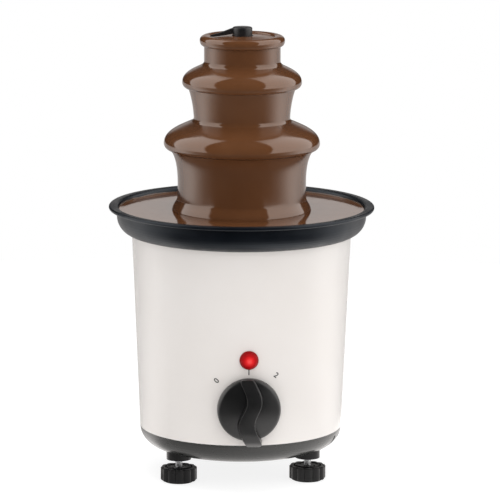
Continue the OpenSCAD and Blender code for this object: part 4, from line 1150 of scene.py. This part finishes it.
# %% Rings
def wheel_ring(k):
    low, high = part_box("foot_wheel_%d" % k)
    middle = (low + high) / 2
    top, radius, half, height, sunk = high.z / MM, 7.6, 0.6, 0.5, 0.2
    ridge = oval(at(radius, top), half, height, 0.0, 180.0, 10)
    ridge += [at(radius - half, top - sunk), at(radius + half, top - sunk)]
    bm = turned(ridge, steps=64)
    bmesh.ops.translate(bm, verts=bm.verts, vec=(middle.x, middle.y, 0.0))
    piece("wheel_ring_%d" % k, bm, "foot_screw_%d" % k, "foot_plastic")


for foot in FEET:
    wheel_ring(foot)

# %% [markdown]
# ## Lifting screw
# The screw stands inside the column. Its core, its socket and its head are turned, its flight is a
# face spun with a rise, and a scraper reaches from the head over the crown's dish. The shapes pass
# into each other, which stays out of sight and saves cutting them together.

# %% Sizes of the screw
screw_low, screw_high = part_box("auger")
HEAD_R, HEAD_Z, HEAD_EDGE = 6.6, 297.0, 1.1
CORE_R = 5.0
SOCKET_R, SOCKET_H = 9.2, 14.4
BORE_R, BORE_H = 6.2, 10.4
FLIGHT_R, FLIGHT_T, FLIGHT_EDGE = 13.2, 2.0, 0.3
FLIGHT_LOW, FLIGHT_HIGH, FLIGHT_PITCH = 171.0, 291.7, 24.0
print("screw length in mm:", round((screw_high.z - screw_low.z) / MM, 1))


# %% Screw
def flight(bm):
    """A slim outline spun upwards round the core, with its two end faces."""
    inner, rim, top = CORE_R - 0.6, FLIGHT_R - FLIGHT_EDGE, FLIGHT_T - FLIGHT_EDGE
    outline = [at(inner, 0.0), at(rim, 0.0), at(FLIGHT_R, FLIGHT_EDGE), at(FLIGHT_R, top)]
    outline += [at(rim, FLIGHT_T), at(inner, FLIGHT_T)]
    face = bm.faces.new([bm.verts.new(p + at(0.0, FLIGHT_LOW)) for p in outline])
    turns = (FLIGHT_HIGH - FLIGHT_T - FLIGHT_LOW) / FLIGHT_PITCH
    steps = round(48 * turns)
    bmesh.ops.spin(
        bm, geom=[face] + face.verts[:] + face.edges[:], cent=ORIGIN, axis=UP,
        angle=math.tau * turns, dvec=UP * (FLIGHT_PITCH * turns * MM / steps), steps=steps)


def scraper(bm):
    """A blade from the head down to the dish, made by extruding one face outwards."""
    # Place along X, lower edge, upper edge and half of the width
    stations = (
        (-4.0, 299.2, 303.2, 1.5), (-7.0, 298.9, 302.7, 1.4), (-11.0, 298.2, 301.2, 1.3),
        (-15.0, 297.6, 299.8, 1.2), (-19.0, 297.2, 298.7, 1.0), (-21.2, 297.1, 298.1, 0.6))
    sections = []
    for x, low, high, half in stations:
        edge = 0.35 * half
        side = [(half, low), (half, high - edge), (half - edge, high)]
        corners = side + [(-y, z) for y, z in reversed(side)]
        sections.append([Vector((x, y, z)) * MM for y, z in corners])
    loft(bm, sections)


def lifting_screw():
    low, top = screw_low.z / MM, screw_high.z / MM
    socket_top = low + SOCKET_H
    bore = [at(0.0, low + BORE_H), at(BORE_R, low + BORE_H), at(BORE_R, low)]
    socket = [at(SOCKET_R - 0.4, low), at(SOCKET_R, low + 0.4), at(SOCKET_R, socket_top)]
    core = [at(CORE_R, socket_top + 1.0), at(CORE_R, HEAD_Z)]
    head = [at(HEAD_R - 0.5, HEAD_Z), at(HEAD_R, HEAD_Z + 0.5)]
    head += oval(at(HEAD_R - HEAD_EDGE, top - HEAD_EDGE), HEAD_EDGE, HEAD_EDGE, 0.0, 80.0, 6)
    bm = turned(bore + socket + core + head + [at(0.0, top)], closed=False, steps=96)
    flight(bm)
    scraper(bm)
    piece("lifting_screw", bm, "screw", "auger_plastic", ("auger",), sharp=34.0)


lifting_screw()
